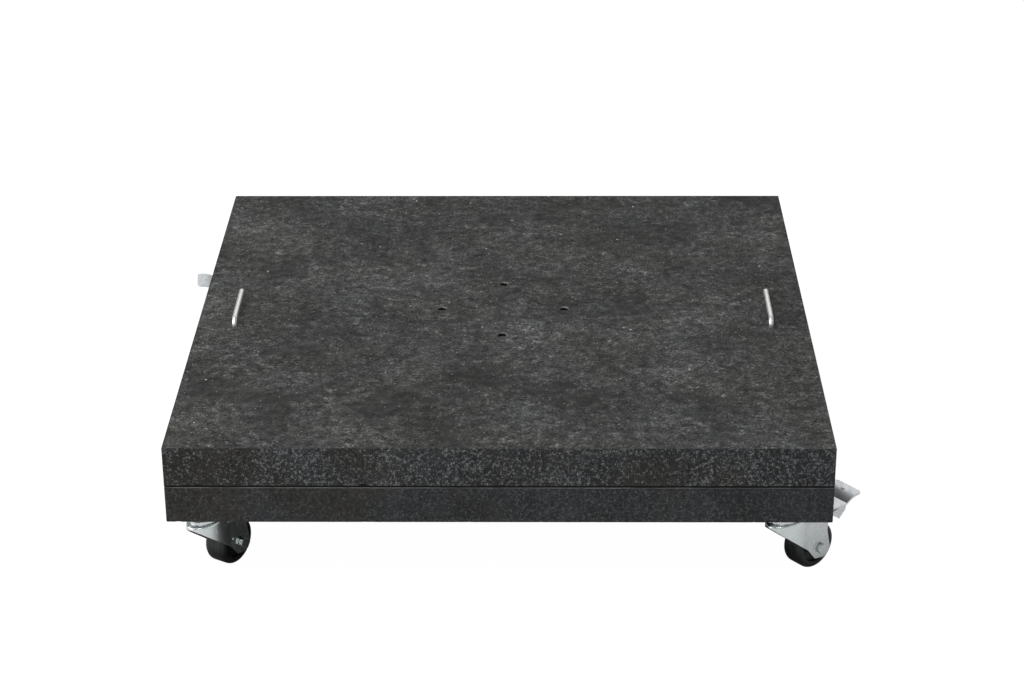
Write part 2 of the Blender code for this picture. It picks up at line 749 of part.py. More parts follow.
def add_casters(zinc, bearing_steel, black_rubber):
    plate = finished(plate_mesh(), zinc)
    balls = finished(ball_ring_mesh(), bearing_steel)
    kingpin = finished(kingpin_mesh(), zinc)
    screw = finished(screw_mesh(), zinc)
    fork = finished(fork_mesh(), zinc)
    wheel = finished(wheel_mesh(), black_rubber)
    bolt = finished(axle_bolt_mesh(), zinc)
    nut = finished(nut_mesh(AXLE_NUT), zinc)
    pedal = finished(pedal_mesh(), zinc)
    pin = finished(pedal_pin_mesh(), zinc)
    ball_height = -GAP - PLATE_SHEET - GAP - BALL
    axle = (AXLE_X, 0.0, AXLE_Z)
    for corner, trail in TRAIL_ANGLES.items():
        x, y = caster_place(corner)
        foot = empty(f"foot_{corner}", at=(x, y, UNDERSIDE))
        swivel = empty(f"swivel_{corner}", foot, turn=math.radians(trail))
        add(f"caster_plate_{corner}", plate, foot)
        add(f"ball_ring_{corner}", balls, foot, (0.0, 0.0, ball_height))
        add(f"kingpin_{corner}", kingpin, foot)
        for number, (screw_x, screw_y) in enumerate(screw_places(), 1):
            add(f"plate_screw_{corner}_{number}", screw, foot, (screw_x, screw_y, 0.0))
        add(f"fork_{corner}", fork, swivel)
        add(f"wheel_{corner}", wheel, swivel, axle)
        add(f"axle_bolt_{corner}", bolt, swivel, axle)
        far_nut = add(f"axle_nut_{corner}", nut, swivel, (AXLE_X, LEG_HALF + GAP, AXLE_Z))
        far_nut.rotation_euler = (-math.pi / 2, 0.0, 0.0)
        if corner in BRAKED:
            pivot = (PIVOT_X, 0.0, PIVOT_Z)
            add(f"brake_pedal_{corner}", pedal, swivel, pivot)
            add(f"pedal_pin_{corner}", pin, swivel, pivot)


def main():
    for old in list(bpy.data.objects):
        bpy.data.objects.remove(old)
    stone = material("granite", (0.055, 0.055, 0.052), 0.75, 0.0)
    bright_steel = material("bright_steel", (0.72, 0.72, 0.70), 0.30, 1.0)
    zinc = material("zinc_plate", (0.62, 0.65, 0.66), 0.32, 1.0)
    bearing_steel = material("bearing_steel", (0.55, 0.55, 0.56), 0.20, 1.0)
    black_rubber = material("black_rubber", (0.016, 0.016, 0.018), 0.45, 0.0)
    add_stone(stone)
    add_mast_sleeves(bearing_steel)
    add_handles(bright_steel, zinc)
    add_casters(zinc, bearing_steel, black_rubber)


main()
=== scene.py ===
"""Looks of a mobile granite parasol base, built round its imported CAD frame.

Metres, +Z up, front towards -Y. The origin is the centre of the upper slab's
top face. Every visible piece is made here in mesh code at the place that the
frame gives, stands for the CAD node of the same part, and rides on its body.
Only the adhesive bead between the slabs has no node of its own in the CAD.
"""

import json
import math

import bmesh
import bpy
from mathutils import Matrix, Vector, noise
from mathutils.geometry import delaunay_2d_cdt


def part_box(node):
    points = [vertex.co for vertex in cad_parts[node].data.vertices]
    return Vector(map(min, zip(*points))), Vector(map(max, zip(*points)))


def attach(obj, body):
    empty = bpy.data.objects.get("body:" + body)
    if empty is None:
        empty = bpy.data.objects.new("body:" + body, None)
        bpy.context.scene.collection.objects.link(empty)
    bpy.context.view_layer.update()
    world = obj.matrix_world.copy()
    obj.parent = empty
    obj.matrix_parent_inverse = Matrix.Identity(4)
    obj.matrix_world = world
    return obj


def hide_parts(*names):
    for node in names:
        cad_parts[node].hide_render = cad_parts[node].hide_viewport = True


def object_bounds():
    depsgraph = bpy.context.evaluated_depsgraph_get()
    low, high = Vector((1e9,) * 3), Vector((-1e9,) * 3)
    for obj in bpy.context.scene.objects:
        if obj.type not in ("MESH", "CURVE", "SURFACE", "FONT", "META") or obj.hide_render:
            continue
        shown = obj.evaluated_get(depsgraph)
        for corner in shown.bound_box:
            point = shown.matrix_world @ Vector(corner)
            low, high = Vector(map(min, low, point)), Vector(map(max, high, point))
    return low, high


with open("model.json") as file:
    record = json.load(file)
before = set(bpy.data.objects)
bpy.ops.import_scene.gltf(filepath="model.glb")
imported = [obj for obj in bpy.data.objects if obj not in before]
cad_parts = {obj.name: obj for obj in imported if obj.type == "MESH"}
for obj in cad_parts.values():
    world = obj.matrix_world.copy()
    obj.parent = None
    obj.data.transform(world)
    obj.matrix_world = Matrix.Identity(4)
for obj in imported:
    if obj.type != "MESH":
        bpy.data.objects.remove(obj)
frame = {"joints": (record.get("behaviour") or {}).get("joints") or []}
cad_low, cad_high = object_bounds()
JOINTS = {joint["name"]: joint for joint in frame["joints"]}

CORNERS = ("front_left", "front_right", "rear_left", "rear_right")
BRAKED = ("front_right", "rear_left")
GAP = 0.0003  # running gap between neighbouring pieces
HAIR = 0.0001  # overlap of cutters past a face

# stone
RIM_STEP = 0.0025  # mesh spacing along the slabs' edges
RELIEF_STEP = 0.003  # mesh spacing over the flamed top
SAWN_STEP = 0.014  # mesh spacing over the flat faces
WALL_STEP = 0.005  # mesh spacing down the slabs' sides
ARRIS = 0.0006  # width of the broken upper edges
SEAM_ARRIS = 0.0007  # depth of the rebate along the upper slab's lower edges
SEAM_RISE = 3.0  # its height over its depth
FOOT_ROUND = 0.0016  # width of the lower slab's broken lower edges
ARRIS_STEPS = 3
SLEEVE_HOLE = 0.0050
SLEEVE_HOLE_DEPTH = 0.032
COUNTERSINK = 0.0008
TOP_LEAD = 0.0014  # depth of the holes' flares in the top face
FOOT_LEAD = 0.0006  # the same in the underside
HANDLE_HOLE = 0.0035
HANDLE_WELL = 0.008
BEAD_SETBACK = 0.0016  # adhesive behind the slabs' side faces
BEAD_WIDTH = 0.018

# fasteners
NUT_FLATS = 0.010
SCREW_OFFSET = 0.024
SCREW_SHANK = 0.0029
SCREW_HOLE = 0.0033
SCREW_HOLE_DEPTH = 0.024
SCREW_LENGTH = 0.020
SCREW_HEAD = 0.0028
AXLE = 0.0030
AXLE_HOLE = 0.0033
AXLE_HEAD = 0.004
AXLE_NUT = 0.005
TAPPED_M6 = 0.0034
TAPPED_M8 = 0.0040
PITCH_M6 = 0.001
PITCH_M8 = 0.00125

# caster plate and bearing, measured down from the stone
PLATE_SIDE = 0.060
PLATE_CORNER = 0.006
PLATE_SHEET = 0.0025
CUP_OUTER = 0.0115
CUP_DEPTH = 0.004
BALL_CIRCLE = 0.0142
BALL = 0.0022
BALL_COUNT = 18
KINGPIN = 0.0040
KINGPIN_HOLE = 0.0043
KINGPIN_HEAD = 0.0080
KINGPIN_RIVET = 0.0072

# fork, measured down from the stone and out from the kingpin along the trail
FORK_SHEET = 0.0022
NOSE_REACH = 0.0330
CROWN_HALF = 0.0186
LEG_HALF = 0.0177
LEG_START = 0.014
LEG_END = 0.052  # shell's tail, past the side view's edge
ROOF_TOP = -0.0125  # ledge round the raised crown
NOSE_ROUND = 0.004
SIDE_ROUND = 0.0010
CROWN_TOP = -0.0086
CROWN_END = 0.0195
CROWN_SET = 0.0008
CROWN_ROUND = 0.0012
RACE_TOP = -0.0071
RACE_RADIUS = 0.0173
PIVOT = 0.0025
PIVOT_HOLE = 0.0028
PIVOT_HEAD = 0.0038
DIMPLE_X = 0.0158
DIMPLE_Z = -0.0450
DIMPLE = 0.0016

# wheel, about its axle
WHEEL_RADIUS = 0.02655  # just under the CAD's, so the round tread stays in its box
WHEEL_HALF = 0.0127
WEB_HALF = 0.008
RIM_INNER = 0.0175
HUB_RADIUS = 0.0075
HUB_HALF = LEG_HALF - FORK_SHEET - GAP

# pedal, in the fork's measures
PEDAL_SHEET = 0.002
PEDAL_HALF = 0.019
PEDAL_NECK = 0.013
PEDAL_HUB_HALF = 0.0134
PEDAL_CHEEK = 0.0127
PEDAL_TIP = 0.0895
PEDAL_TOP = -0.0088  # middle of the sheet at the tip
PIP_RADIUS = 0.0022
PIP_HEIGHT = 0.0004
PIP_FROM_TIP = 0.0095
PEDAL_CORNER = 0.0045
LOWER_BLADE_TIP = 0.0765
LOWER_BLADE_HALF = 0.0145
FLANGE_SHEET = 0.0015
LOBE_REACH = 0.0084
LOBE_ANGLE = math.radians(-77.0)

FINE_STEPS = 96  # facets around a wheel or a race
RING_STEPS = 32  # facets around a bolt hole
# camera, fitted to the slab's corners in the photo
CAMERA_LENS = 87.23  # mm
CAMERA_SENSOR = 36.0  # mm wide
CAMERA_PLACE = (0.0429, -2.6250, 1.1965)
CAMERA_ANGLES = (64.72954, 0.25735, 0.59322)  # tilt, roll, turn in degrees

BAR_STEPS = 24  # facets around a handle's bar
THREAD_STEPS = 20  # facets around a thread
CORNER_STEPS = 6  # facets along a rounded corner
NOSE_STEPS = 28  # facets along half of the fork's nose
BLEND_STEPS = 8  # facets where its sides narrow into the legs


# ---- outlines

def regular(radius, count):
    """Corners of a regular polygon."""
    angles = [2 * math.pi * step / count for step in range(count)]
    return [(radius * math.cos(angle), radius * math.sin(angle)) for angle in angles]


def quarter_turn(steps):
    """(sine, cosine) pairs from 0 to 90 degrees."""
    angles = [math.pi / 2 * step / steps for step in range(steps + 1)]
    return [(math.sin(angle), math.cos(angle)) for angle in angles]


def arc_at(before, corner, after, radius, steps):
    """Points of the arc that rounds one corner of a path."""
    into = (before - corner).normalized()
    out = (after - corner).normalized()
    half = into.angle(out) / 2
    centre = corner + (into + out).normalized() * (radius / math.sin(half))
    first = corner + into * (radius / math.tan(half)) - centre
    last = corner + out * (radius / math.tan(half)) - centre
    sweep = math.atan2(first.x * last.y - first.y * last.x, first.dot(last))
    points = []
    for step in range(steps + 1):
        turned = first.copy()
        turned.rotate(Matrix.Rotation(sweep * step / steps, 2))
        points.append(centre + turned)
    return points


def rounded(corners, steps=CORNER_STEPS, closed=True):
    """Path through (x, y, radius) corners, with each radius above 0 rounded."""
    spots = [Vector(corner[:2]) for corner in corners]
    path = []
    for index, (spot, corner) in enumerate(zip(spots, corners)):
        at_end = not closed and index in (0, len(corners) - 1)
        if corner[2] == 0 or at_end:
            path.append(spot)
            continue
        before = spots[index - 1]
        after = spots[(index + 1) % len(spots)]
        path.extend(arc_at(before, spot, after, corner[2], steps))
    return [(spot.x, spot.y) for spot in path]


def rectangle(half, radius):
    return rounded([
        (-half, -half, radius), (half, -half, radius),
        (half, half, radius), (-half, half, radius),
    ])


def thickened(path, thickness):
    """Closed outline of a sheet whose middle line is the open path."""
    spots = [Vector(spot) for spot in path]
    upper, lower = [], []
    for index, spot in enumerate(spots):
        back = spots[max(index - 1, 0)]
        ahead = spots[min(index + 1, len(spots) - 1)]
        along = (ahead - back).normalized()
        side = Vector((-along.y, along.x)) * (thickness / 2)
        upper.append(tuple(spot + side))
        lower.append(tuple(spot - side))
    return upper + lower[::-1]


# ---- solids

def skin(rings, closed=False):
    """Solid through rings of equal size; closed joins the last to the first."""
    bm = bmesh.new()
    loops = [[bm.verts.new(spot) for spot in ring] for ring in rings]
    pairs = list(zip(loops, loops[1:]))
    if closed:
        pairs.append((loops[-1], loops[0]))
    count = len(loops[0])
    for here, there in pairs:
        for index in range(count):
            after = (index + 1) % count
            bm.faces.new((here[index], here[after], there[after], there[index]))
    if not closed:
        bm.faces.new(loops[0])
        bm.faces.new(loops[-1])
    bmesh.ops.recalc_face_normals(bm, faces=bm.faces)
    return bm


def stack(levels):
    """Solid through a pile of outlines: each level is (outline, z)."""
    return skin([[(x, y, z) for x, y in outline] for outline, z in levels])


def prism(outline, low, high):
    return stack([(outline, low), (outline, high)])


def soft_prism(outline_at, low, high, edge):
    """Prism with rounded rims; outline_at(inset) gives the outline set in."""
    rim = [(outline_at(edge * (1 - sine)), edge * (1 - cosine))
           for sine, cosine in quarter_turn(3)]
    foot = [(outline, low + rise) for outline, rise in rim]
    head = [(outline, high - rise) for outline, rise in reversed(rim)]
    return stack(foot + head)


def rod(radius, low, high, count=RING_STEPS):
    return prism(regular(radius, count), low, high)


def lathe(profile, count=FINE_STEPS):
    """Turn a closed outline of (radius, z) points about the z axis."""
    rings = []
    for step in range(count):
        angle = 2 * math.pi * step / count
        rings.append([(r * math.cos(angle), r * math.sin(angle), z) for r, z in profile])
    bm = skin(rings, closed=True)
    bmesh.ops.remove_doubles(bm, verts=bm.verts, dist=1e-7)
    bmesh.ops.dissolve_degenerate(bm, dist=1e-8, edges=bm.edges)
    bmesh.ops.recalc_face_normals(bm, faces=bm.faces)
    return bm


def thread(radius, low, high, pitch, chamfered=True):
    """Rod with a helical thread: a screw's shank, or the cutter of a tapped hole."""
    depth = 0.55 * pitch
    rows = max(2, round((high - low) / pitch * 5))
    rings = []
    for row in range(rows + 1):
        z = low + (high - low) * row / rows
        end = min(z - low, high - z) if chamfered else depth
        ring = []
        for step in range(THREAD_STEPS):
            phase = (z / pitch - step / THREAD_STEPS) % 1
            dip = max(depth * abs(2 * phase - 1), depth - end)
            angle = 2 * math.pi * step / THREAD_STEPS
            reach = radius - dip
            ring.append((reach * math.cos(angle), reach * math.sin(angle), z))
        rings.append(ring)
    return skin(rings)


def swept_tube(path, radius):
    """Round bar along an open path of (y, z) points in the plane x = 0."""
    rings = []
    for index, spot in enumerate(path):
        back = Vector(path[max(index - 1, 0)])
        ahead = Vector(path[min(index + 1, len(path) - 1)])
        along = (ahead - back).normalized()
        rings.append([(out, spot[0] - along.y * side, spot[1] + along.x * side)
                      for out, side in regular(radius, BAR_STEPS)])
    return skin(rings)


def moved(bm, x=0.0, y=0.0, z=0.0):
    bmesh.ops.translate(bm, verts=bm.verts, vec=(x, y, z))
    return bm


def along_y(bm):
    """Turn a solid so that its +z points along -y and its outline's y is up."""
    bmesh.ops.rotate(bm, verts=bm.verts, matrix=Matrix.Rotation(math.pi / 2, 3, "X"))
    return bm


def plain(bm):
    mesh = bpy.data.meshes.new("piece")
    bm.to_mesh(mesh)
    bm.free()
    return mesh


def reopened(mesh):
    bm = bmesh.new()
    bm.from_mesh(mesh)
    return bm


def loose_object(name, bm):
    made = bpy.data.objects.new(name, plain(bm))
    bpy.context.collection.objects.link(made)
    return made


def combined(base, steps, rim=0.0):
    """Exact Booleans, one after the other, then rounded rims; gives a mesh."""
    body = loose_object("blank", base)
    tools = []
    for operation, tool in steps:
        cutter = loose_object("tool", tool)
        boolean = body.modifiers.new(operation.lower(), "BOOLEAN")
        boolean.operation = operation
        boolean.solver = "EXACT"
        boolean.object = cutter
        tools.append(cutter)
    if rim:
        bevel = body.modifiers.new("rim", "BEVEL")
        bevel.width = rim
        bevel.segments = 2
        bevel.limit_method = "ANGLE"
        bevel.angle_limit = math.radians(40.0)
    seen = body.evaluated_get(bpy.context.evaluated_depsgraph_get())
    mesh = bpy.data.meshes.new_from_object(seen)
    for used in tools + [body]:
        bpy.data.objects.remove(used)
    return mesh


# ---- materials

class Look:
    """A node material, built up socket by socket."""

    def __init__(self, name):
        self.material = bpy.data.materials.new(name)
        self.material.use_nodes = True
        self.tree = self.material.node_tree
        self.shader = self.tree.nodes["Principled BSDF"]
        self.place = self.add("TexCoord").outputs["Object"]

    def feed(self, socket, value):
        if isinstance(value, bpy.types.NodeSocket):
            self.tree.links.new(value, socket)
        else:
            socket.default_value = value

    def add(self, kind, inputs=None, **settings):
        node = self.tree.nodes.new("ShaderNode" + kind)
        for name, value in settings.items():
            setattr(node, name, value)
        for name, value in (inputs or {}).items():
            self.feed(node.inputs[name], value)
        return node

    def math(self, operation, first, second=0.0):
        return self.add("Math", {0: first, 1: second}, operation=operation).outputs[0]

    def plus(self, first, second):
        return self.math("ADD", first, second)

    def minus(self, first, second):
        return self.math("SUBTRACT", first, second)

    def times(self, first, second):
        return self.math("MULTIPLY", first, second)

    def vector(self, operation, first, second):
        return self.add("VectorMath", {0: first, 1: second}, operation=operation).outputs[0]

    def noise(self, scale, detail=3.0, rough=0.5, warp=0.0, seed=0.0, stretch=(1, 1, 1)):
        """Soft noise around 0.5; seed moves it to another stretch of noise."""
        spot = self.vector("MULTIPLY", self.place, stretch)
        spot = self.vector("ADD", spot, (seed, seed * 1.7, seed * 0.6))
        inputs = {"Vector": spot, "Scale": scale, "Detail": detail,
                  "Roughness": rough, "Distortion": warp}
        return self.add("TexNoise", inputs).outputs[0]

    def cells(self, scale, seed=0.0):
        """Voronoi cells: distance to the cell's centre, and its random share."""
        spot = self.vector("ADD", self.place, (seed, seed, seed))
        node = self.add("TexVoronoi", {"Vector": spot, "Scale": scale})
        random = self.add("SeparateColor", {"Color": node.outputs["Color"]})
        return node.outputs["Distance"], random.outputs["Red"]

    def specks(self, scale, rare, radius, seed=0.0):
        """Round dots in a few of the cells; rare is the share of cells without one."""
        distance, random = self.cells(scale, seed)
        chosen = self.step(random, rare, rare + 0.3 * (1 - rare))
        return self.times(chosen, self.step(distance, radius / 2, radius, 1.0, 0.0))

    def step(self, value, low, high, to_low=0.0, to_high=1.0):
        """Smooth step of a value between two limits."""
        node = self.add("MapRange", {"Value": value, "From Min": low, "From Max": high,
                                     "To Min": to_low, "To Max": to_high},
                        interpolation_type="SMOOTHSTEP")
        return node.outputs[0]

    def blend(self, share, first, second):
        """Mix of two colours."""
        return self.add("Mix", {0: share, 6: first, 7: second}, data_type="RGBA").outputs[2]

    def scaled(self, colour, factor):
        inputs = {0: colour, "Scale": factor}
        return self.add("VectorMath", inputs, operation="SCALE").outputs[0]

    def swing(self, parts):
        """Sum of (noise, strength) parts, each about its middle value."""
        total = 0.0
        for value, strength in parts:
            share = self.times(self.minus(value, 0.5), strength)
            total = self.plus(total, share)
        return total

    def centred(self, parts):
        """Factor around 1 that swings evenly with (noise, strength) parts."""
        return self.math("MAXIMUM", self.plus(1.0, self.swing(parts)), 0.05)

    def varied(self, colour, *parts):
        """Colour whose brightness swings evenly with (noise, strength) parts."""
        return self.scaled(colour, self.centred(parts))

    def bump(self, height, depth):
        node = self.add("Bump", {"Height": height, "Distance": depth, "Strength": 1.0})
        self.tree.links.new(node.outputs[0], self.shader.inputs["Normal"])

    def finish(self, colour, roughness, metallic=0.0, **others):
        self.feed(self.shader.inputs["Base Color"], colour)
        self.feed(self.shader.inputs["Roughness"], roughness)
        self.feed(self.shader.inputs["Metallic"], metallic)
        for name, value in others.items():
            self.feed(self.shader.inputs[name.replace("_", " ")], value)
        return self.material


def flamed_granite():
    """Flamed top face: mottled dark grey, smooth dark hollows, pits and bright specks."""
    look = Look("granite_flamed")
    clouds = look.noise(7, detail=2.0)
    patches = look.noise(24, detail=3.0, rough=0.55, warp=0.6, seed=3.0)
    mottle = look.noise(85, detail=4.0, rough=0.68, seed=5.0)
    grain = look.noise(420, detail=3.0, rough=0.75, seed=7.0)
    crystals = look.cells(270, seed=2.0)[1]
    clusters = look.step(look.noise(45, detail=2.0, seed=19.0), 0.42, 0.60, 0.3, 1.6)
    tint = look.noise(14, detail=2.0, seed=11.0)
    small_hollow = look.step(look.noise(15, detail=3.0, warp=0.8, seed=13.0),
                             0.60, 0.68, 0.0, 0.7)
    large_hollow = look.step(look.noise(8, detail=3.0, warp=0.5, seed=29.0), 0.585, 0.645)
    hollow = look.math("MAXIMUM", small_hollow, large_hollow)
    pits = look.step(look.noise(150, detail=2.0, seed=17.0), 0.66, 0.74)
    small = look.specks(260, 0.93, 0.36, seed=1.0)
    large = look.specks(130, 0.985, 0.23, seed=6.0)

    rough_share = look.minus(1.0, look.times(hollow, 0.65))
    fine = look.swing([(grain, 8.0)])
    fine = look.plus(fine, look.times(look.swing([(crystals, 1.1)]), clusters))
    exponent = look.plus(look.swing([(clouds, 2.6), (patches, 2.3), (mottle, 6.0)]),
                         look.times(fine, rough_share))
    exponent = look.minus(exponent, look.times(hollow, 0.55))
    exponent = look.minus(exponent, look.times(pits, 1.2))
    brightness = look.math("POWER", 2.0, exponent)
    brightness = look.plus(brightness, look.times(small, 3.0))
    brightness = look.plus(brightness, look.times(large, 10.0))
    hue = look.blend(look.step(tint, 0.35, 0.65), (0.0400, 0.0407, 0.0400, 1),
                     (0.0422, 0.0416, 0.0383, 1))
    look.bump(look.plus(mottle, look.times(grain, 0.5)), 0.0016)
    roughness = look.step(look.plus(small, grain), 0.3, 1.2, 0.86, 0.55)
    return look.finish(look.scaled(hue, brightness), roughness, Specular_IOR_Level=0.3)


def sawn_granite(name, base, flecks, density, seed):
    """Sawn face: near-black ground under pale flecks that come in drifts.

    The left of the front is olive and calm; further right it turns neutral.
    """
    look = Look(name)
    across = look.add("SeparateXYZ", {"Vector": look.place}).outputs["X"]
    drift = look.noise(11, detail=2.0, seed=seed)
    olive = look.plus(look.noise(9, detail=2.0, seed=seed + 4.0),
                      look.times(across, -0.45))
    olive = look.step(olive, 0.46, 0.66)
    thin = look.noise(640, detail=2.0, rough=0.6, seed=seed + 8.0)
    wide = look.noise(330, detail=2.0, rough=0.5, seed=seed + 10.0)
    fleck = look.plus(look.times(thin, 0.55), look.times(wide, 0.45))
    sparse = look.step(drift, 0.38, 0.60, 0.014, -0.008)
    sparse = look.plus(sparse, look.times(olive, 0.035))
    share = look.step(look.minus(fleck, sparse), density, density + 0.15)
    sparks = look.specks(300, 0.93, 0.30, seed=seed)
    fine = look.noise(260, detail=3.0, seed=seed + 12.0)
    cloud = look.noise(30, detail=3.0, seed=seed + 16.0)

    hue = look.blend(olive, (base * 0.95, base * 1.0, base * 1.07, 1),
                     (base * 1.08, base * 1.02, base * 0.86, 1))
    ground = look.varied(hue, (fine, 2.4), (cloud, 1.2))
    uneven = look.noise(480, detail=2.0, seed=seed + 20.0)
    pale = look.varied((flecks, flecks * 1.01, flecks * 1.02), (uneven, 3.0))
    colour = look.blend(share, ground, pale)
    bright = flecks * 1.6
    colour = look.blend(look.times(sparks, 0.6), colour, (bright, bright, bright, 1))
    look.bump(look.plus(fine, look.times(fleck, 0.5)), 0.0001)
    return look.finish(colour, look.step(share, 0.0, 1.0, 0.62, 0.45), Specular_IOR_Level=0.15)


def arris_highlight_granite():
    """Lower slab's upper arris: paler than the sawn face, in short stretches; the paleness is a
    painted highlight where the edge catches the light.
    """
    look = Look("granite_arris_painted_highlight")
    chips = look.noise(160, detail=3.0, rough=0.6, seed=3.0)
    length = look.step(look.noise(14, detail=2.0, seed=9.0), 0.40, 0.60, 0.35, 1.0)
    brightness = look.times(look.centred([(chips, 2.0)]), length)
    return look.finish(look.scaled((0.105, 0.105, 0.102), brightness), 0.6)


def drilled_granite_painted_shade():
    """Bored wall: pale at the mouth, from stone dust and a painted highlight on the lit rim;
    near-black further in as painted shade.
    """
    look = Look("granite_drilled_painted_shade")
    rings = look.noise(900, detail=1.0, stretch=(0.1, 0.1, 1.0))
    dust = look.noise(240, detail=3.0, seed=2.0)
    brightness = look.centred([(rings, 1.0), (dust, 1.4)])
    height = look.add("SeparateXYZ", {"Vector": look.place}).outputs["Z"]
    # painted shade: the colour falls to 0.04 of its value deeper in the bore
    mouth = look.step(height, -0.0026, -0.0014, 0.04, 1.0)
    look.bump(rings, 0.0002)
    colour = look.scaled((0.16, 0.16, 0.15), look.times(brightness, mouth))
    return look.finish(colour, 0.85, Specular_IOR_Level=0.1)


def zinc_plated():
    """Bright zinc plate on pressed steel: soft cloudy sheen with a faint cool tint."""
    look = Look("zinc_plate")
    clouds = look.noise(60, detail=3.0, seed=1.0)
    spangle = look.noise(600, detail=2.0, seed=4.0)
    drawn = look.noise(220, detail=2.0, seed=6.0, stretch=(1.0, 1.0, 0.15))
    tint = look.blend(look.step(clouds, 0.35, 0.65), (0.60, 0.65, 0.64, 1),
                      (0.66, 0.68, 0.69, 1))
    colour = look.varied(tint, (spangle, 0.25), (drawn, 0.2))
    roughness = look.step(look.plus(clouds, drawn), 0.7, 1.3, 0.17, 0.30)
    look.bump(look.plus(drawn, look.times(clouds, 2.0)), 0.000015)
    return look.finish(colour, roughness, 1.0)


def dull_zinc():
    """Zinc plate worn dull by shoes."""
    look = Look("zinc_plate_dull")
    clouds = look.noise(60, detail=3.0, seed=1.0)
    scuffs = look.noise(180, detail=3.0, seed=5.0, stretch=(1.0, 0.2, 1.0))
    colour = look.varied((0.69, 0.71, 0.72), (clouds, 0.15), (scuffs, 0.2))
    return look.finish(colour, look.step(scuffs, 0.35, 0.65, 0.28, 0.42), 0.70)


def drawn_steel():
    """Bright bar: pale metal with fine die lines along it."""
    look = Look("bright_steel")
    lines = look.noise(1500, detail=2.0, stretch=(1.0, 0.05, 0.05))
    clouds = look.noise(90, detail=2.0, seed=3.0)
    colour = look.varied((0.86, 0.86, 0.83), (lines, 0.25), (clouds, 0.2))
    look.bump(lines, 0.00003)
    return look.finish(colour, look.step(clouds, 0.3, 0.7, 0.30, 0.42), 1.0)


def oiled_steel(name, colour, swing, seed, smooth, rough):
    """Plain steel under a film of oil or grease."""
    look = Look(name)
    oil = look.noise(300, detail=2.0, seed=seed)
    roughness = look.step(oil, 0.4, 0.6, smooth, rough)
    return look.finish(look.varied(colour, (oil, swing)), roughness, 1.0)


def bearing_steel():
    return oiled_steel("bearing_steel", (0.50, 0.50, 0.51), 0.5, 0.0, 0.16, 0.36)


def sleeve_steel_painted_shade():
    """Sleeves at the bottom of the mast's bolt holes, near-black as painted shade."""
    return oiled_steel("sleeve_steel_painted_shade", (0.045, 0.045, 0.045), 0.8, 8.0, 0.45, 0.6)


def black_moulding():
    """Moulded wheel: satin black, faintly cloudy, with floor dust on the high spots."""
    look = Look("black_moulding")
    clouds = look.noise(90, detail=3.0)
    scuff = look.step(look.noise(420, detail=3.0, rough=0.7, seed=5.0), 0.60, 0.72)
    ground = look.varied((0.0090, 0.0095, 0.0100), (clouds, 1.0))
    colour = look.blend(look.times(scuff, 0.3), ground, (0.03, 0.03, 0.029, 1))
    look.bump(look.noise(1400, detail=2.0, seed=9.0), 0.00003)
    roughness = look.step(clouds, 0.3, 0.7, 0.26, 0.38)
    return look.finish(colour, roughness, Specular_IOR_Level=0.35)


def adhesive_and_seam_shade():
    """Hardened adhesive in the joint between the slabs; on the upper slab's lower arris the same
    colour is painted shade along the seam.
    """
    look = Look("joint_adhesive_and_seam_shade")
    lumps = look.noise(160, detail=3.0)
    look.bump(lumps, 0.0005)
    colour = look.varied((0.007, 0.007, 0.007), (lumps, 1.0))
    return look.finish(colour, 0.8, Specular_IOR_Level=0.1)


# ---- pieces

def finished(mesh, *looks, sharp=35.0):
    """Give a mesh its materials and smooth its round stretches."""
    for look in looks:
        mesh.materials.append(look)
    mesh.shade_smooth()
    mesh.set_sharp_from_angle(angle=math.radians(sharp))
    return mesh


def place(name, mesh, at, body, node=None):
    """Put a piece in the row frame on its body, standing for its CAD node."""
    own = mesh.copy()
    own.transform(at)
    piece = bpy.data.objects.new(name, own)
    bpy.context.collection.objects.link(piece)
    even = piece.modifiers.new("even_normals", "WEIGHTED_NORMAL")
    even.keep_sharp = True
    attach(piece, body)
    if node:
        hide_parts(node)
    return piece


# ---- stone

def square_loop(half):
    """Points round a square with cut corners, each with its way out."""
    reach = half - ARRIS
    count = round(2 * reach / RIM_STEP)
    points = []
    for turn in range(4):
        quarter = Matrix.Rotation(turn * math.pi / 2, 2)
        for step in range(count + 1):
            spot = Vector((-reach + 2 * reach * step / count, -half))
            mitre = -1.0 if step == 0 else 1.0 if step == count else 0.0
            way = Vector((mitre, -1.0))
            spot.rotate(quarter)
            way.rotate(quarter)
            points.append((spot, way))
    return points


def chipped(spot, size, seed):
    """Width of the broken arris at a place on the rim."""
    here = Vector((spot.x, spot.y, seed))
    fine = noise.noise(here * 260) * 0.2
    chip = max(0.0, noise.noise(here * 46) - 0.45) * 4.0
    small = max(0.0, noise.noise(here * 130 + Vector((9, 0, 0))) - 0.4) * 1.2
    return size * (1.0 + fine + chip + small)


def flamed_depth(x, y):
    """Depth of the flamed face below its high spots."""
    here = Vector((x, y, 0.0))
    broad = noise.fractal(here * 28, 0.9, 2.0, 3)
    fine = noise.fractal(here * 110 + Vector((5, 0, 0)), 0.9, 2.0, 2)
    hollow = max(0.0, noise.noise(here * 17 + Vector((0, 7, 0))) - 0.18)
    return max(0.0, 0.00035 + 0.00022 * broad + 0.00020 * fine + 0.0012 * hollow)


def scattered(half, spacing, keep_out):
    """Jittered grid of points inside a square, clear of the given circles."""
    count = int(2 * (half - spacing) / spacing)
    points = []
    for row in range(count):
        for column in range(count):
            x = (column + 0.5) * 2 * (half - spacing) / count - (half - spacing)
            y = (row + 0.5) * 2 * (half - spacing) / count - (half - spacing)
            jitter = noise.noise_vector(Vector((x, y, 0.0)) * 900) * spacing * 0.3
            spot = Vector((x + jitter.x, y + jitter.y))
            if all((spot - centre).length > reach for centre, reach in keep_out):
                points.append(spot)
    return points


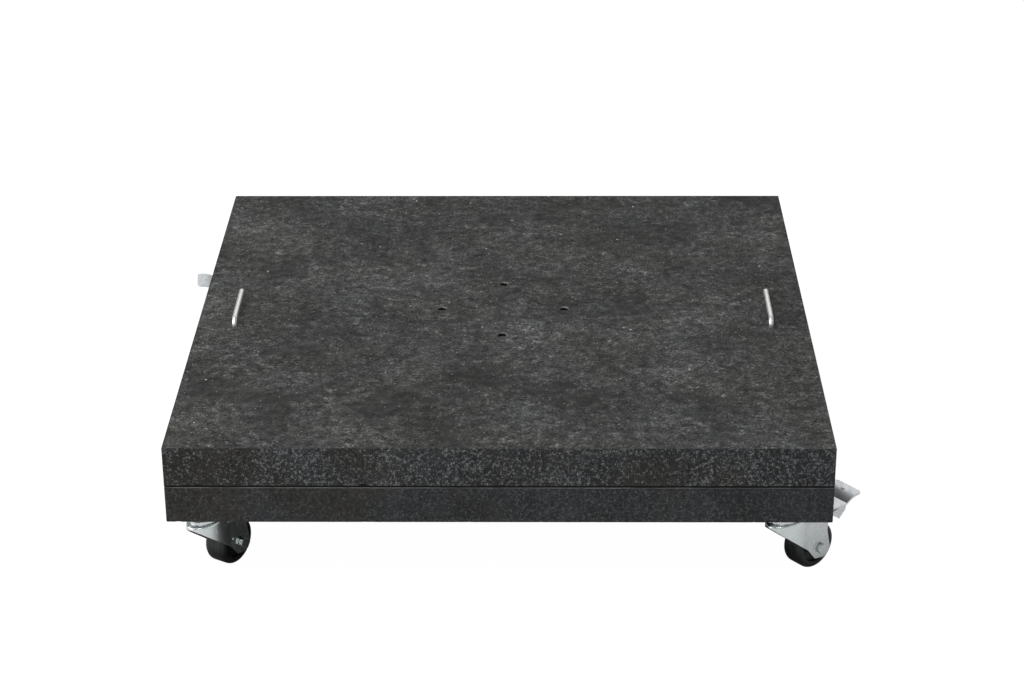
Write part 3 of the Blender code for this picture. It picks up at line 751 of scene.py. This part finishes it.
def fill(bm, rings, points, height):
    """Triangulate a face between its rim and hole rings, through inner points."""
    verts = [vert for ring in rings for vert in ring]
    owners = [number for number, ring in enumerate(rings) for _ in ring]
    spots = [vert.co.xy for vert in verts] + points
    edges = []
    first = 0
    for ring in rings:
        count = len(ring)
        edges += [(first + step, first + (step + 1) % count) for step in range(count)]
        first += count
    verts += [bm.verts.new((spot.x, spot.y, height(spot.x, spot.y))) for spot in points]
    owners += [None] * len(points)
    _, _, faces, origin, _, _ = delaunay_2d_cdt(spots, edges, [], 0, 1e-7, True)
    for face in faces:
        one, two, three = [origin[index][0] for index in face]
        if owners[one] is not None and owners[one] == owners[two] == owners[three]:
            inside_rim = (one < two) + (two < three) + (three < one) == 2
            if owners[one] > 0 or not inside_rim:
                continue
        bm.faces.new((verts[one], verts[two], verts[three]))


def wall(bm, rings, surface):
    """Strips of quads down a pile of rings."""
    for here, there in zip(rings, rings[1:]):
        count = len(here)
        for index in range(count):
            after = (index + 1) % count
            quad = (here[index], here[after], there[after], there[index])
            bm.faces.new(quad).material_index = surface


def stone_block(low, high, foot, rise, holes, flamed, seed):
    """Sawn block with broken arrises; surfaces: top, sides, holes, upper and lower arris.

    Each hole is (centre, profile, through), and its profile runs as (radius, z)
    from the face that it opens in; a through hole ends in the other face.
    """
    half, top, bottom = high.x, high.z, low.z
    bm = bmesh.new()
    loop = square_loop(half)

    def arris_rows(face, size, rise, shift):
        rows = []
        for sine, cosine in quarter_turn(ARRIS_STEPS):
            row = []
            for spot, way in loop:
                broken = chipped(spot, size, seed + shift)
                inner = spot - way * (broken * (1 - sine))
                row.append(bm.verts.new((*inner, face + rise * broken * (1 - cosine))))
            rows.append(row)
        return rows

    def wavy(spot, way, z):
        dent = 0.00012 * (0.5 + 0.5 * noise.noise(Vector((spot.x, spot.y, z)) * 60))
        return (*(spot - way * dent), z)

    upper_rows = arris_rows(top, ARRIS, -1, 0.0)
    lower_rows = arris_rows(bottom, foot, rise, 5.0)
    wall(bm, upper_rows, 3)
    spread = top - bottom - 2 * WALL_STEP
    middle = max(2, round(spread / WALL_STEP))
    heights = [top - WALL_STEP - spread * step / middle for step in range(middle + 1)]
    middle_rows = [[bm.verts.new(wavy(spot, way, z)) for spot, way in loop] for z in heights]
    wall(bm, upper_rows[-1:] + middle_rows + lower_rows[-1:], 1)
    wall(bm, lower_rows[::-1], 4)

    top_rings, bottom_rings = [upper_rows[0]], [lower_rows[0]]
    top_clear, bottom_clear = [], []
    for centre, profile, through in holes:
        rings = []
        for radius, z in profile:
            ring = [bm.verts.new((centre.x + x, centre.y + y, z))
                    for x, y in regular(radius, RING_STEPS)]
            rings.append(ring)
        wall(bm, rings, 2)
        opens_on_top = abs(profile[0][1] - top) < abs(profile[0][1] - bottom)
        sides = [opens_on_top, not opens_on_top] if through else [opens_on_top]
        for index, on_top in enumerate(sides):
            ring, radius = (rings[0], profile[0][0]) if index == 0 else (rings[-1], profile[-1][0])
            (top_rings if on_top else bottom_rings).append(ring)
            clear = (centre, radius + (RELIEF_STEP if on_top and flamed else SAWN_STEP) * 0.4)
            (top_clear if on_top else bottom_clear).append(clear)
        if not through:
            bm.faces.new(rings[-1]).material_index = 2

    if flamed:
        inner = scattered(half, RELIEF_STEP, top_clear)
        fill(bm, top_rings, inner, lambda x, y: top - flamed_depth(x, y))
        for vert in [vert for ring in top_rings for vert in ring]:
            vert.co.z -= flamed_depth(vert.co.x, vert.co.y) * 0.6
    else:
        fill(bm, top_rings, scattered(half, SAWN_STEP, top_clear), lambda x, y: top)
    sawn_from = len(bm.faces)
    fill(bm, bottom_rings, scattered(half, SAWN_STEP, bottom_clear), lambda x, y: bottom)
    bm.faces.ensure_lookup_table()
    for face in bm.faces[sawn_from:]:
        face.material_index = 1
    bmesh.ops.recalc_face_normals(bm, faces=bm.faces)
    return plain(bm)


def node_centre(node):
    low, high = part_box(node)
    return (low + high) / 2


def handle_legs(side):
    """Centres of one handle's two legs, front then rear."""
    low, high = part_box(f"handle_{side}")
    rod_radius = (high.x - low.x) / 2
    x = (low.x + high.x) / 2
    return [Vector((x, low.y + rod_radius)), Vector((x, high.y - rod_radius))]


def all_legs():
    return handle_legs("left") + handle_legs("right")


def bore(centre, radius, flare, mouth, lead, end, through=False):
    """A hole for stone_block, wider by the flare at its mouth over a short lead."""
    return centre, [(radius + flare, mouth), (radius, mouth + lead), (radius, end)], through


def add_stone():
    flamed = flamed_granite()
    upper_side = sawn_granite("granite_sawn_upper", 0.0176, 0.118, 0.468, 1.0)
    lower_side = sawn_granite("granite_sawn_lower", 0.0194, 0.055, 0.477, 2.0)
    drilled = drilled_granite_painted_shade()

    low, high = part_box("upper_slab")
    holes = []
    for number in range(1, 5):
        centre = node_centre(f"mast_sleeve_{number}").xy
        holes.append(bore(centre, SLEEVE_HOLE, COUNTERSINK, high.z, -TOP_LEAD,
                          high.z - SLEEVE_HOLE_DEPTH))
    for centre in all_legs():
        holes.append(bore(centre, HANDLE_HOLE, COUNTERSINK / 2, high.z, -TOP_LEAD, low.z, True))
    mesh = stone_block(low, high, SEAM_ARRIS, SEAM_RISE, holes, True, 0.0)
    adhesive = adhesive_and_seam_shade()
    # the upper slab's lower arris takes the near-black adhesive colour: painted shade along the
    # seam
    finished(mesh, flamed, upper_side, drilled, upper_side, adhesive, sharp=50)
    place("stone_upper", mesh, Matrix(), "base", "upper_slab")

    low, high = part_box("lower_slab")
    holes = [bore(centre, HANDLE_WELL, FOOT_LEAD, low.z, FOOT_LEAD, high.z, True)
             for centre in all_legs()]
    for corner in CORNERS:
        pin = Vector(JOINTS[f"{corner}_swivel"]["pos_m"]).xy
        holes += [bore(pin + Vector(spot), SCREW_HOLE, FOOT_LEAD / 2, low.z, FOOT_LEAD,
                       low.z + SCREW_HOLE_DEPTH) for spot in screw_places()]
    mesh = stone_block(low, high, FOOT_ROUND, 1.0, holes, False, 3.0)
    # the lower slab's upper arris gets a paler colour: painted highlight along the seam
    broken = arris_highlight_granite()
    finished(mesh, lower_side, lower_side, drilled, broken, lower_side, sharp=50)
    place("stone_lower", mesh, Matrix(), "base", "lower_slab")
    add_bead(low.x, high.z, adhesive)


def add_bead(edge, lower_top, adhesive):
    """Adhesive in the joint: a flat bead behind the slabs' side faces."""
    upper_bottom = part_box("upper_slab")[0].z
    half = -edge - BEAD_SETBACK
    outer = [(spot, way) for spot, way in square_loop(half)]
    rings = []
    for inset, z in ((0.0, lower_top), (0.0, upper_bottom), (BEAD_WIDTH, upper_bottom),
                     (BEAD_WIDTH, lower_top)):
        ring = []
        for spot, way in outer:
            wave = 0.0006 * noise.noise(Vector((spot.x, spot.y, inset)) * 90)
            scale = (half - inset) / half
            ring.append((*(spot * scale + way * (wave if inset == 0 else 0.0)), z))
        rings.append(ring)
    mesh = plain(skin(rings, closed=True))
    place("adhesive_bead", finished(mesh, adhesive), Matrix(), "base")


def screw_places():
    return [(x * SCREW_OFFSET, y * SCREW_OFFSET) for x in (-1, 1) for y in (-1, 1)]


# ---- fasteners

def hexagon_blank(low, high, chamfer_low, chamfer_high):
    """Hexagon with its corners turned off on the chosen faces."""
    corner = NUT_FLATS / math.sqrt(3)
    slope = 0.0006
    face = NUT_FLATS / 2 * 0.97
    profile = [(0, low), (face if chamfer_low else corner, low),
               (corner, low + (slope if chamfer_low else 0)),
               (corner, high - (slope if chamfer_high else 0)),
               (face if chamfer_high else corner, high), (0, high)]
    cone = lathe([spot for index, spot in enumerate(profile)
                  if index == 0 or spot != profile[index - 1]])
    hexagon = prism(regular(corner * 0.9999, 6), low - HAIR, high + HAIR)
    return reopened(combined(cone, [("INTERSECT", hexagon)]))


def nut_mesh(height):
    """Tapped hexagon nut between z = 0 and its height."""
    tapped = thread(TAPPED_M6, -HAIR, height + HAIR, PITCH_M6, chamfered=False)
    return combined(hexagon_blank(0, height, True, True), [("DIFFERENCE", tapped)])


def lock_nut_mesh(height):
    """Lock nut between z = 0 and its height: low hexagon under a round collar."""
    flats = height * 0.66
    collar = lathe(rounded([
        (0, flats - 0.001, 0), (NUT_FLATS * 0.46, flats - 0.001, 0),
        (NUT_FLATS * 0.43, height, 0.0008), (0, height, 0),
    ]))
    tapped = thread(TAPPED_M6, -HAIR, height + HAIR, PITCH_M6, chamfered=False)
    return combined(hexagon_blank(0, flats, True, True),
                    [("UNION", collar), ("DIFFERENCE", tapped)])


def axle_bolt_mesh():
    """Hexagon bolt along y with its head on the -y side, about the origin."""
    seat = LEG_HALF + GAP
    end = -seat - AXLE_NUT - 0.0015
    washer_face = rod(NUT_FLATS * 0.47, seat, seat + 0.0005)
    shank = rod(AXLE, -seat + 0.003, seat + 0.0007)
    threaded = thread(AXLE, end, -seat + 0.0035, PITCH_M6)
    head = hexagon_blank(seat + 0.0004, seat + AXLE_HEAD, False, True)
    steps = [("UNION", washer_face), ("UNION", shank), ("UNION", threaded)]
    return plain(along_y(reopened(combined(head, steps))))


def screw_mesh():
    """Hexagon screw into the stone, its origin on the stone's underside."""
    seat = -GAP - PLATE_SHEET - GAP
    threaded = thread(SCREW_SHANK, seat - 0.0002, SCREW_LENGTH, PITCH_M6)
    head = hexagon_blank(seat - SCREW_HEAD, seat, True, False)
    return combined(head, [("UNION", threaded)])


def sleeve_mesh(low, high):
    """Threaded sleeve with a lead-in, about the z axis between two heights."""
    radius = (high.x - low.x) / 2
    length = high.z - low.z
    lead = 0.0006
    outer = lathe([
        (0, -length), (radius - lead / 2, -length), (radius, -length + lead / 2),
        (radius, -lead / 2), (radius - lead / 2, 0), (0, 0),
    ])
    tapped = thread(TAPPED_M8, -length - HAIR, HAIR, PITCH_M8, chamfered=False)
    return combined(outer, [("DIFFERENCE", tapped)])


def add_sleeves(steel):
    low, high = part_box("mast_sleeve_1")
    mesh = finished(sleeve_mesh(low, high), steel)
    for number in range(1, 5):
        centre = node_centre(f"mast_sleeve_{number}")
        at = Matrix.Translation((centre.x, centre.y, high.z))
        place(f"threaded_sleeve_{number}", mesh, at, "base",
              f"mast_sleeve_{number}")


# ---- handles

def handle_mesh(low, high, nut_low):
    """U of round bar with threaded feet, at its own place over the stone."""
    radius = (high.x - low.x) / 2
    near, far = low.y + radius, high.y - radius
    rise = high.z - radius
    feet = nut_low + 0.009
    bend = 0.008
    path = rounded([
        (near, feet, 0), (near, rise, bend), (far, rise, bend), (far, feet, 0),
    ], 14, closed=False)
    steps = []
    for y in (near, far):
        threaded = thread(radius, low.z, feet + 0.0005, PITCH_M6)
        steps.append(("UNION", moved(threaded, 0, y)))
    return combined(swept_tube(path, radius), steps)


def add_handles(bright_steel, zinc):
    low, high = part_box("handle_left")
    nut_low, nut_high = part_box("stop_nut_left_front")
    bar = finished(handle_mesh(low, high, nut_low.z), bright_steel)
    nut = finished(nut_mesh(nut_high.z - nut_low.z), zinc, sharp=25)
    for side in ("left", "right"):
        body = f"pull_{side}"
        at = Matrix.Translation((node_centre(f"handle_{side}").x, 0, 0))
        place(f"pull_handle_{side}", bar, at, body, f"handle_{side}")
        for end, centre in zip(("front", "rear"), handle_legs(side)):
            at = Matrix.Translation((*centre, nut_low.z))
            place(f"handle_nut_{side}_{end}", nut, at, body, f"stop_nut_{side}_{end}")


# ---- casters

def plate_mesh():
    """Square top plate with a cup pressed down inside the ball race."""
    top = -GAP
    under = top - PLATE_SHEET
    floor = under - CUP_DEPTH
    inner = CUP_OUTER - PLATE_SHEET
    cup = rounded([
        (KINGPIN_HOLE, floor, 0), (CUP_OUTER, floor, 0.0012), (CUP_OUTER, under, 0),
        (CUP_OUTER + 0.0004, under, 0), (CUP_OUTER + 0.0004, top - 0.0002, 0),
        (inner + 0.0012, top - 0.0002, 0.0010), (inner, floor + PLATE_SHEET, 0.0006),
        (KINGPIN_HOLE, floor + PLATE_SHEET, 0),
    ])
    square = soft_prism(lambda inset: rectangle(PLATE_SIDE / 2 - inset, PLATE_CORNER - inset),
                        under, top, 0.0005)
    steps = [
        ("DIFFERENCE", rod(CUP_OUTER - 0.0006, under - 0.001, top + 0.001, FINE_STEPS)),
        ("UNION", lathe(cup)),
    ]
    for x, y in screw_places():
        drill = rod(SCREW_HOLE, under - 0.001, top + 0.001)
        steps.append(("DIFFERENCE", moved(drill, x, y)))
    return combined(square, steps)


def ball_ring_mesh():
    """Loose bearing balls between plate and fork, centred on z = 0."""
    bm = bmesh.new()
    for x, y in regular(BALL_CIRCLE, BALL_COUNT):
        spot = Matrix.Translation((x, y, 0.0))
        bmesh.ops.create_uvsphere(bm, u_segments=16, v_segments=10, radius=BALL, matrix=spot)
    return plain(bm)


def kingpin_mesh():
    """Rivet through the plate's cup and the fork's crown."""
    seat = -CUP_DEPTH
    under = RACE_TOP - FORK_SHEET - GAP
    return plain(lathe(rounded([
        (0, seat + 0.0025, 0), (KINGPIN_HEAD, seat + 0.0023, 0.0012), (KINGPIN_HEAD, seat, 0.0003),
        (KINGPIN, seat, 0), (KINGPIN, under, 0), (KINGPIN_RIVET, under, 0.0003),
        (KINGPIN_RIVET, under - 0.0024, 0.0016), (0.0024, under - 0.0034, 0.0004),
        (0.0018, under - 0.0027, 0.0004), (0, under - 0.0025, 0),
    ])))


def fork_plan(inset, nose_round=0.0, side_round=0.0, end=LEG_END):
    """Plan of the fork: a long rounded nose whose sides narrow into flat legs."""
    reach = NOSE_REACH - inset - nose_round
    half = CROWN_HALF - inset - side_round
    leg = LEG_HALF - inset - side_round
    side = [(-reach * cosine, half * sine) for sine, cosine in quarter_turn(NOSE_STEPS)]
    for step in range(1, BLEND_STEPS + 1):
        t = step / BLEND_STEPS
        side.append((LEG_START * t, half + (leg - half) * (3 * t**2 - 2 * t**3)))
    side.append((end - inset, leg))
    return [(x, -y) for x, y in reversed(side[1:])] + side


def fork_levels(inset, bottom, nose_round, side_round):
    """Levels of the fork's outer or inner surface, up to a rounded shoulder."""
    roof = ROOF_TOP - inset
    levels = [(fork_plan(inset), bottom)]
    for sine, cosine in quarter_turn(CORNER_STEPS):
        plan = fork_plan(inset, nose_round * (1 - cosine), side_round * (1 - cosine))
        levels.append((plan, roof - nose_round * (1 - sine)))
    return levels


def crown_levels():
    """Levels of the raised crown that stands on the fork's roof."""
    levels = [(fork_plan(CROWN_SET, NOSE_ROUND, SIDE_ROUND, CROWN_END), ROOF_TOP)]
    for sine, cosine in quarter_turn(CORNER_STEPS):
        inset = CROWN_SET + CROWN_ROUND * (1 - cosine)
        plan = fork_plan(inset, NOSE_ROUND, SIDE_ROUND, CROWN_END)
        levels.append((plan, CROWN_TOP - CROWN_ROUND * (1 - sine)))
    return levels


def fork_side():
    """Side view of the fork as (along the trail, height, corner radius)."""
    return rounded([
        (-0.0360, -0.0050, 0), (-0.0360, -0.0140, 0), (-0.0230, -0.0252, 0.030),
        (0.0118, -0.0532, 0.012), (0.0222, -0.0668, 0.003), (0.0385, -0.0695, 0.008),
        (0.0450, -0.0605, 0.008), (0.0395, -0.0370, 0.020), (0.0405, -0.0250, 0.010),
        (0.0385, -0.0120, 0.004), (0.0300, -0.0120, 0), (0.0300, -0.0050, 0),
    ])


def crown_race():
    """Section of the raised ball race on the fork's crown."""
    sheet = FORK_SHEET
    outer = RACE_RADIUS
    low = ROOF_TOP - sheet + 0.0002
    return rounded([
        (KINGPIN_HOLE, RACE_TOP, 0), (0.0103, RACE_TOP, 0.0008),
        (BALL_CIRCLE, RACE_TOP - 0.0010, 0.0020), (0.0162, RACE_TOP - 0.0001, 0.0006),
        (outer, RACE_TOP - 0.0010, 0.0010), (outer, low, 0),
        (outer - sheet, low, 0), (outer - sheet, RACE_TOP - 0.0036, 0.0006),
        (0.0100, RACE_TOP - sheet, 0.0006), (KINGPIN_HOLE, RACE_TOP - sheet, 0),
    ])


def dimple(side):
    """Shallow round boss pressed out of one leg."""
    face = LEG_HALF - 0.0004
    profile = [(0, face - 0.001), (DIMPLE, face - 0.001), (DIMPLE, face + 0.0005),
               (DIMPLE * 0.75, face + 0.0010), (DIMPLE * 0.4, face + 0.0012), (0, face + 0.0012)]
    boss = along_y(lathe(profile, RING_STEPS))
    if side > 0:
        bmesh.ops.rotate(boss, verts=boss.verts, matrix=Matrix.Rotation(math.pi, 3, "Z"))
    return moved(boss, DIMPLE_X, 0, DIMPLE_Z)


def fork_mesh(axle, pivot):
    """Pressed fork, its origin on the kingpin's axis at the stone's underside."""
    wide = 0.030
    outer = stack(fork_levels(0, -0.072, NOSE_ROUND, SIDE_ROUND) + crown_levels())
    inner = stack(fork_levels(FORK_SHEET, -0.073, NOSE_ROUND / 2, SIDE_ROUND / 2))
    window = prism([(0.020, -0.0140), (0.050, -0.0140), (0.050, 0.0140), (0.020, 0.0140)],
                   -0.030, -0.005)
    return combined(outer, rim=0.0003, steps=[
        ("DIFFERENCE", inner),
        ("INTERSECT", along_y(prism(fork_side(), -wide, wide))),
        ("DIFFERENCE", window),
        ("DIFFERENCE", rod(RACE_RADIUS - 0.0012, -0.030, -0.005, FINE_STEPS)),
        ("UNION", lathe(crown_race())),
        ("UNION", dimple(1)),
        ("UNION", dimple(-1)),
        ("DIFFERENCE", moved(along_y(rod(AXLE_HOLE, -wide, wide)), axle.x, 0, axle.z)),
        ("DIFFERENCE", moved(along_y(rod(PIVOT_HOLE, -wide, wide)), pivot.x, 0, pivot.z)),
    ])


def both_halves(half):
    """Profile of (radius, z, bend) corners and its mirror image across z = 0."""
    return rounded(half + [(r, -z, bend) for r, z, bend in reversed(half) if z])


def wheel_mesh():
    """Moulded wheel about the y axis, its origin in its middle."""
    line = 0.00025
    half_profile = [
        (AXLE_HOLE, HUB_HALF, 0), (HUB_RADIUS, HUB_HALF, 0.0008),
        (HUB_RADIUS + 0.0006, WEB_HALF, 0.0012), (RIM_INNER, WEB_HALF, 0.0012),
        (RIM_INNER + 0.0015, WHEEL_HALF, 0.0007), (WHEEL_RADIUS, WHEEL_HALF, 0.005),
        (WHEEL_RADIUS, line, 0), (WHEEL_RADIUS - line, 0, 0),
    ]
    return plain(along_y(lathe(both_halves(half_profile))))


# ---- brakes

def about(pivot, corners):
    """Side view's corners, (x, z) and perhaps a radius, measured from the pivot."""
    return [(x - pivot.x, z - pivot.z, *bend) for x, z, *bend in corners]


def pedal_blade(side_path, plan, pivot):
    """Bent sheet along a side view's path, trimmed to a plan; about the pivot."""
    section = thickened(rounded(about(pivot, side_path), closed=False), PEDAL_SHEET)
    wide = PEDAL_HALF + 0.001
    sheet = along_y(prism(section, -wide, wide))
    trim = prism([(x - pivot.x, y) for x, y in plan], -wide, wide)
    return reopened(combined(sheet, [("INTERSECT", trim)]))


def pedal_plan(tip, half, corner):
    """Plan of one pedal blade: a neck between the legs, then its full width."""
    neck_end, shoulder, start = 0.044, 0.055, 0.028
    flare = 0.004
    return rounded([
        (start, -PEDAL_NECK, 0), (neck_end, -PEDAL_NECK, flare), (shoulder, -half, flare),
        (tip, -half, corner), (tip, half, corner),
        (shoulder, half, flare), (neck_end, PEDAL_NECK, flare), (start, PEDAL_NECK, 0),
    ])


def pedal_mesh(pivot):
    """Brake pedal of two blades with cheeks, hub and lobe, about its pivot."""
    step = pedal_blade([
        (0.0310, -0.0160, 0), (0.0665, -0.0148, 0.0015), (0.0760, PEDAL_TOP, 0.030),
        (PEDAL_TIP, PEDAL_TOP, 0),
    ], pedal_plan(PEDAL_TIP, PEDAL_HALF, PEDAL_CORNER), pivot)
    nose = pedal_blade([
        (0.0310, -0.0242, 0), (0.0560, -0.0215, 0.020), (LOWER_BLADE_TIP, -0.0165, 0.003),
        (0.0600, -0.0320, 0),
    ], pedal_plan(LOWER_BLADE_TIP + 0.002, LOWER_BLADE_HALF, 0.008), pivot)
    hub = along_y(rod(0.005, -PEDAL_HUB_HALF, PEDAL_HUB_HALF))
    bore = along_y(rod(PIVOT_HOLE, -PEDAL_HALF, PEDAL_HALF))
    cheek_side = about(pivot, [
        (0.0315, -0.0160), (0.0550, -0.0146), (0.0600, -0.0206), (0.0315, -0.0242),
    ])
    flange_side = rounded(about(pivot, [
        (0.0470, -0.0228, 0), (0.0705, -0.0180, 0), (0.0700, -0.0235, 0.003),
        (0.0600, -0.0316, 0.004), (0.0540, -0.0280, 0),
    ]))
    face = PEDAL_TOP + PEDAL_SHEET / 2 - pivot.z
    pip = rounded([
        (0, face - PIP_HEIGHT, 0), (PIP_RADIUS, face - PIP_HEIGHT, 0), (PIP_RADIUS, face, 0),
        (PIP_RADIUS * 0.7, face + PIP_HEIGHT, 0.0006), (0, face + PIP_HEIGHT, 0),
    ])
    lobe_side = [
        (math.cos(LOBE_ANGLE + spread) * reach, math.sin(LOBE_ANGLE + spread) * reach)
        for spread, reach in
        [(-0.9, 0.0045), (-0.12, LOBE_REACH), (0.12, LOBE_REACH), (0.9, 0.0045)]
    ]
    lobe = along_y(prism(lobe_side, -PEDAL_NECK + 0.002, PEDAL_NECK - 0.002))
    steps = [("UNION", nose), ("UNION", hub)]
    for side in (-1, 1):
        for outline, out, sheet in ((cheek_side, PEDAL_CHEEK, PEDAL_SHEET),
                                    (flange_side, LOWER_BLADE_HALF, FLANGE_SHEET)):
            edges = sorted((side * out, side * (out - sheet)))
            steps.append(("UNION", along_y(prism(outline, *edges))))
    steps += [
        ("UNION", lobe),
        ("DIFFERENCE", bore),
        ("UNION", moved(lathe(pip, RING_STEPS), PEDAL_TIP - PIP_FROM_TIP - pivot.x)),
    ]
    return combined(step, steps)


def pedal_pin_mesh():
    """Rivet along y through both legs and the pedal's hub."""
    seat = LEG_HALF + GAP
    end = seat + 0.0015
    half_profile = [(0, -end, 0), (PIVOT_HEAD, -end, 0.0012), (PIVOT_HEAD, -seat, 0),
                    (PIVOT, -seat, 0)]
    return plain(along_y(lathe(both_halves(half_profile))))


# ---- assembly

def caster_frame(corner):
    """Kingpin place, and the swivelling part's own frame along its trail."""
    pin = Vector(JOINTS[f"{corner}_swivel"]["pos_m"])
    axle = Vector(JOINTS[f"{corner}_roll"]["pos_m"])
    trail = math.atan2(axle.y - pin.y, axle.x - pin.x)
    fixed = Matrix.Translation(pin)
    return fixed, fixed @ Matrix.Rotation(trail, 4, "Z")


def add_casters(zinc, steel, black):
    _, turned = caster_frame("front_right")
    axle = turned.inverted() @ Vector(JOINTS["front_right_roll"]["pos_m"])
    pivot = turned.inverted() @ Vector(JOINTS["front_right_brake"]["pos_m"])
    plate = finished(plate_mesh(), zinc)
    balls = finished(ball_ring_mesh(), steel)
    rivet = finished(kingpin_mesh(), zinc)
    screw = finished(screw_mesh(), zinc, sharp=25)
    fork = finished(fork_mesh(axle, pivot), zinc)
    wheel = finished(wheel_mesh(), black)
    bolt = finished(axle_bolt_mesh(), zinc, sharp=25)
    nut = finished(lock_nut_mesh(AXLE_NUT), zinc, sharp=25)
    pedal = finished(pedal_mesh(pivot), dull_zinc())
    pin = finished(pedal_pin_mesh(), zinc)
    ball_lift = Matrix.Translation((0, 0, -GAP - PLATE_SHEET - GAP - BALL))
    nut_turn = Matrix.Translation((axle.x, LEG_HALF + GAP, axle.z))
    nut_turn = nut_turn @ Matrix.Rotation(-math.pi / 2, 4, "X")
    for corner in CORNERS:
        fixed, turned = caster_frame(corner)
        swivel, roller, brake = f"swivel_{corner}", f"roll_{corner}", f"brake_{corner}"
        at_axle = turned @ Matrix.Translation(axle)
        pieces = [
            ("top_plate", plate, fixed, "base", "zinc", "caster_plate"),
            ("bearing_balls", balls, fixed @ ball_lift, "base", "bearing_steel", "ball_ring"),
            ("swivel_rivet", rivet, fixed, "base", "zinc", "kingpin"),
            ("pressed_fork", fork, turned, swivel, "zinc", "fork"),
            ("axle_screw", bolt, at_axle, swivel, "zinc", "axle_bolt"),
            ("lock_nut", nut, turned @ nut_turn, swivel, "zinc", "axle_nut"),
            ("moulded_wheel", wheel, at_axle, roller, "black_rubber", "wheel"),
        ]
        if corner in BRAKED:
            at_pivot = turned @ Matrix.Translation(pivot)
            pieces += [
                ("foot_pedal", pedal, at_pivot, brake, "zinc", "brake_pedal"),
                ("pedal_rivet", pin, at_pivot, swivel, "zinc", "pedal_pin"),
            ]
        for name, mesh, at, body, slot, node in pieces:
            place(f"{name}_{corner}", mesh, at, body, f"{node}_{corner}")
        for number, (x, y) in enumerate(screw_places(), 1):
            place(f"fixing_screw_{corner}_{number}", screw, fixed @ Matrix.Translation((x, y, 0)),
                  "base", f"plate_screw_{corner}_{number}")


# ---- studio

def add_floor():
    """Pale floor at the wheels' foot, its colour darkened under the base as a painted shadow.

    The camera sees it nearly white, so its shadows hardly show.
    """
    bm = bmesh.new()
    bmesh.ops.create_grid(bm, x_segments=8, y_segments=8, size=12.0)
    floor = bpy.data.objects.new("floor_painted_shadow", plain(bm))
    floor.location.z = cad_low.z - 0.0002
    bpy.context.collection.objects.link(floor)
    look = Look("floor_painted_shadow")
    spot = look.add("SeparateXYZ", {"Vector": look.place})
    reach = look.math("MAXIMUM", look.math("ABSOLUTE", spot.outputs["X"]),
                      look.math("ABSOLUTE", spot.outputs["Y"]))
    # painted shadow: colour 0.15 under the base and 0.86 beyond it, seen by bounced light and in
    # reflections
    look.finish(look.step(reach, cad_high.y * 0.85, cad_high.y * 1.05, 0.15, 0.86), 0.9)
    seen = look.add("LightPath").outputs["Is Camera Ray"]
    glow = look.add("Emission", {"Color": (1, 1, 1, 1), "Strength": 1.1})
    share = look.times(seen, 0.9)
    mix = look.add("MixShader", {0: share, 1: look.shader.outputs[0], 2: glow.outputs[0]})
    out = look.tree.nodes["Material Output"]
    look.tree.links.new(mix.outputs[0], out.inputs["Surface"])
    floor.data.materials.append(look.material)


def add_softbox(name, spot, aim, size, power):
    light = bpy.data.lights.new(name, "AREA")
    light.shape = "RECTANGLE"
    light.size, light.size_y = size
    light.energy = power
    made = bpy.data.objects.new(name, light)
    made.location = spot
    made.rotation_euler = (Vector(aim) - Vector(spot)).to_track_quat("-Z", "Y").to_euler()
    made.visible_camera = False
    bpy.context.collection.objects.link(made)


def add_studio():
    """White surround with large softboxes overhead, behind, left and in front."""
    lit, shown = 0.42, 1.1  # its strength as a light, and as the camera sees it
    world = bpy.data.worlds.new("studio")
    world.use_nodes = True
    tree = world.node_tree
    around = tree.nodes["Background"]
    around.inputs["Color"].default_value = (0.97, 0.985, 1.0, 1)
    seen = tree.nodes.new("ShaderNodeLightPath").outputs["Is Camera Ray"]
    level = tree.nodes.new("ShaderNodeMapRange")
    tree.links.new(seen, level.inputs["Value"])
    level.inputs["To Min"].default_value = lit
    level.inputs["To Max"].default_value = shown
    tree.links.new(level.outputs[0], around.inputs["Strength"])
    bpy.context.scene.world = world
    add_softbox("overhead", (-1.5, -1.1, 2.4), (0, 0, 0), (2.4, 2.2), 61.0)
    add_softbox("back", (0.4, 3.2, 2.3), (0, 0, 0), (4.2, 1.4), 20.0)
    add_softbox("left", (-3.0, -1.2, 0.9), (0, 0, -0.1), (3.0, 1.2), 34.0)
    add_softbox("front", (0.3, -3.0, 1.5), (0, 0, -0.1), (1.2, 0.5), 8.0)


def add_camera():
    """Camera in front of the base, a little right of its middle, looking down."""
    camera = bpy.data.cameras.new("camera")
    camera.lens = CAMERA_LENS
    camera.sensor_width = CAMERA_SENSOR
    camera.clip_start = 0.05
    made = bpy.data.objects.new("camera", camera)
    made.location = CAMERA_PLACE
    made.rotation_euler = [math.radians(angle) for angle in CAMERA_ANGLES]
    bpy.context.collection.objects.link(made)
    bpy.context.scene.camera = made


def main():
    zinc = zinc_plated()
    steel = bearing_steel()
    bright = drawn_steel()
    add_stone()
    add_sleeves(sleeve_steel_painted_shade())
    add_handles(bright, zinc)
    add_casters(zinc, steel, black_moulding())
    add_floor()
    add_studio()
    add_camera()
    bpy.context.scene.view_settings.view_transform = "Standard"


main()
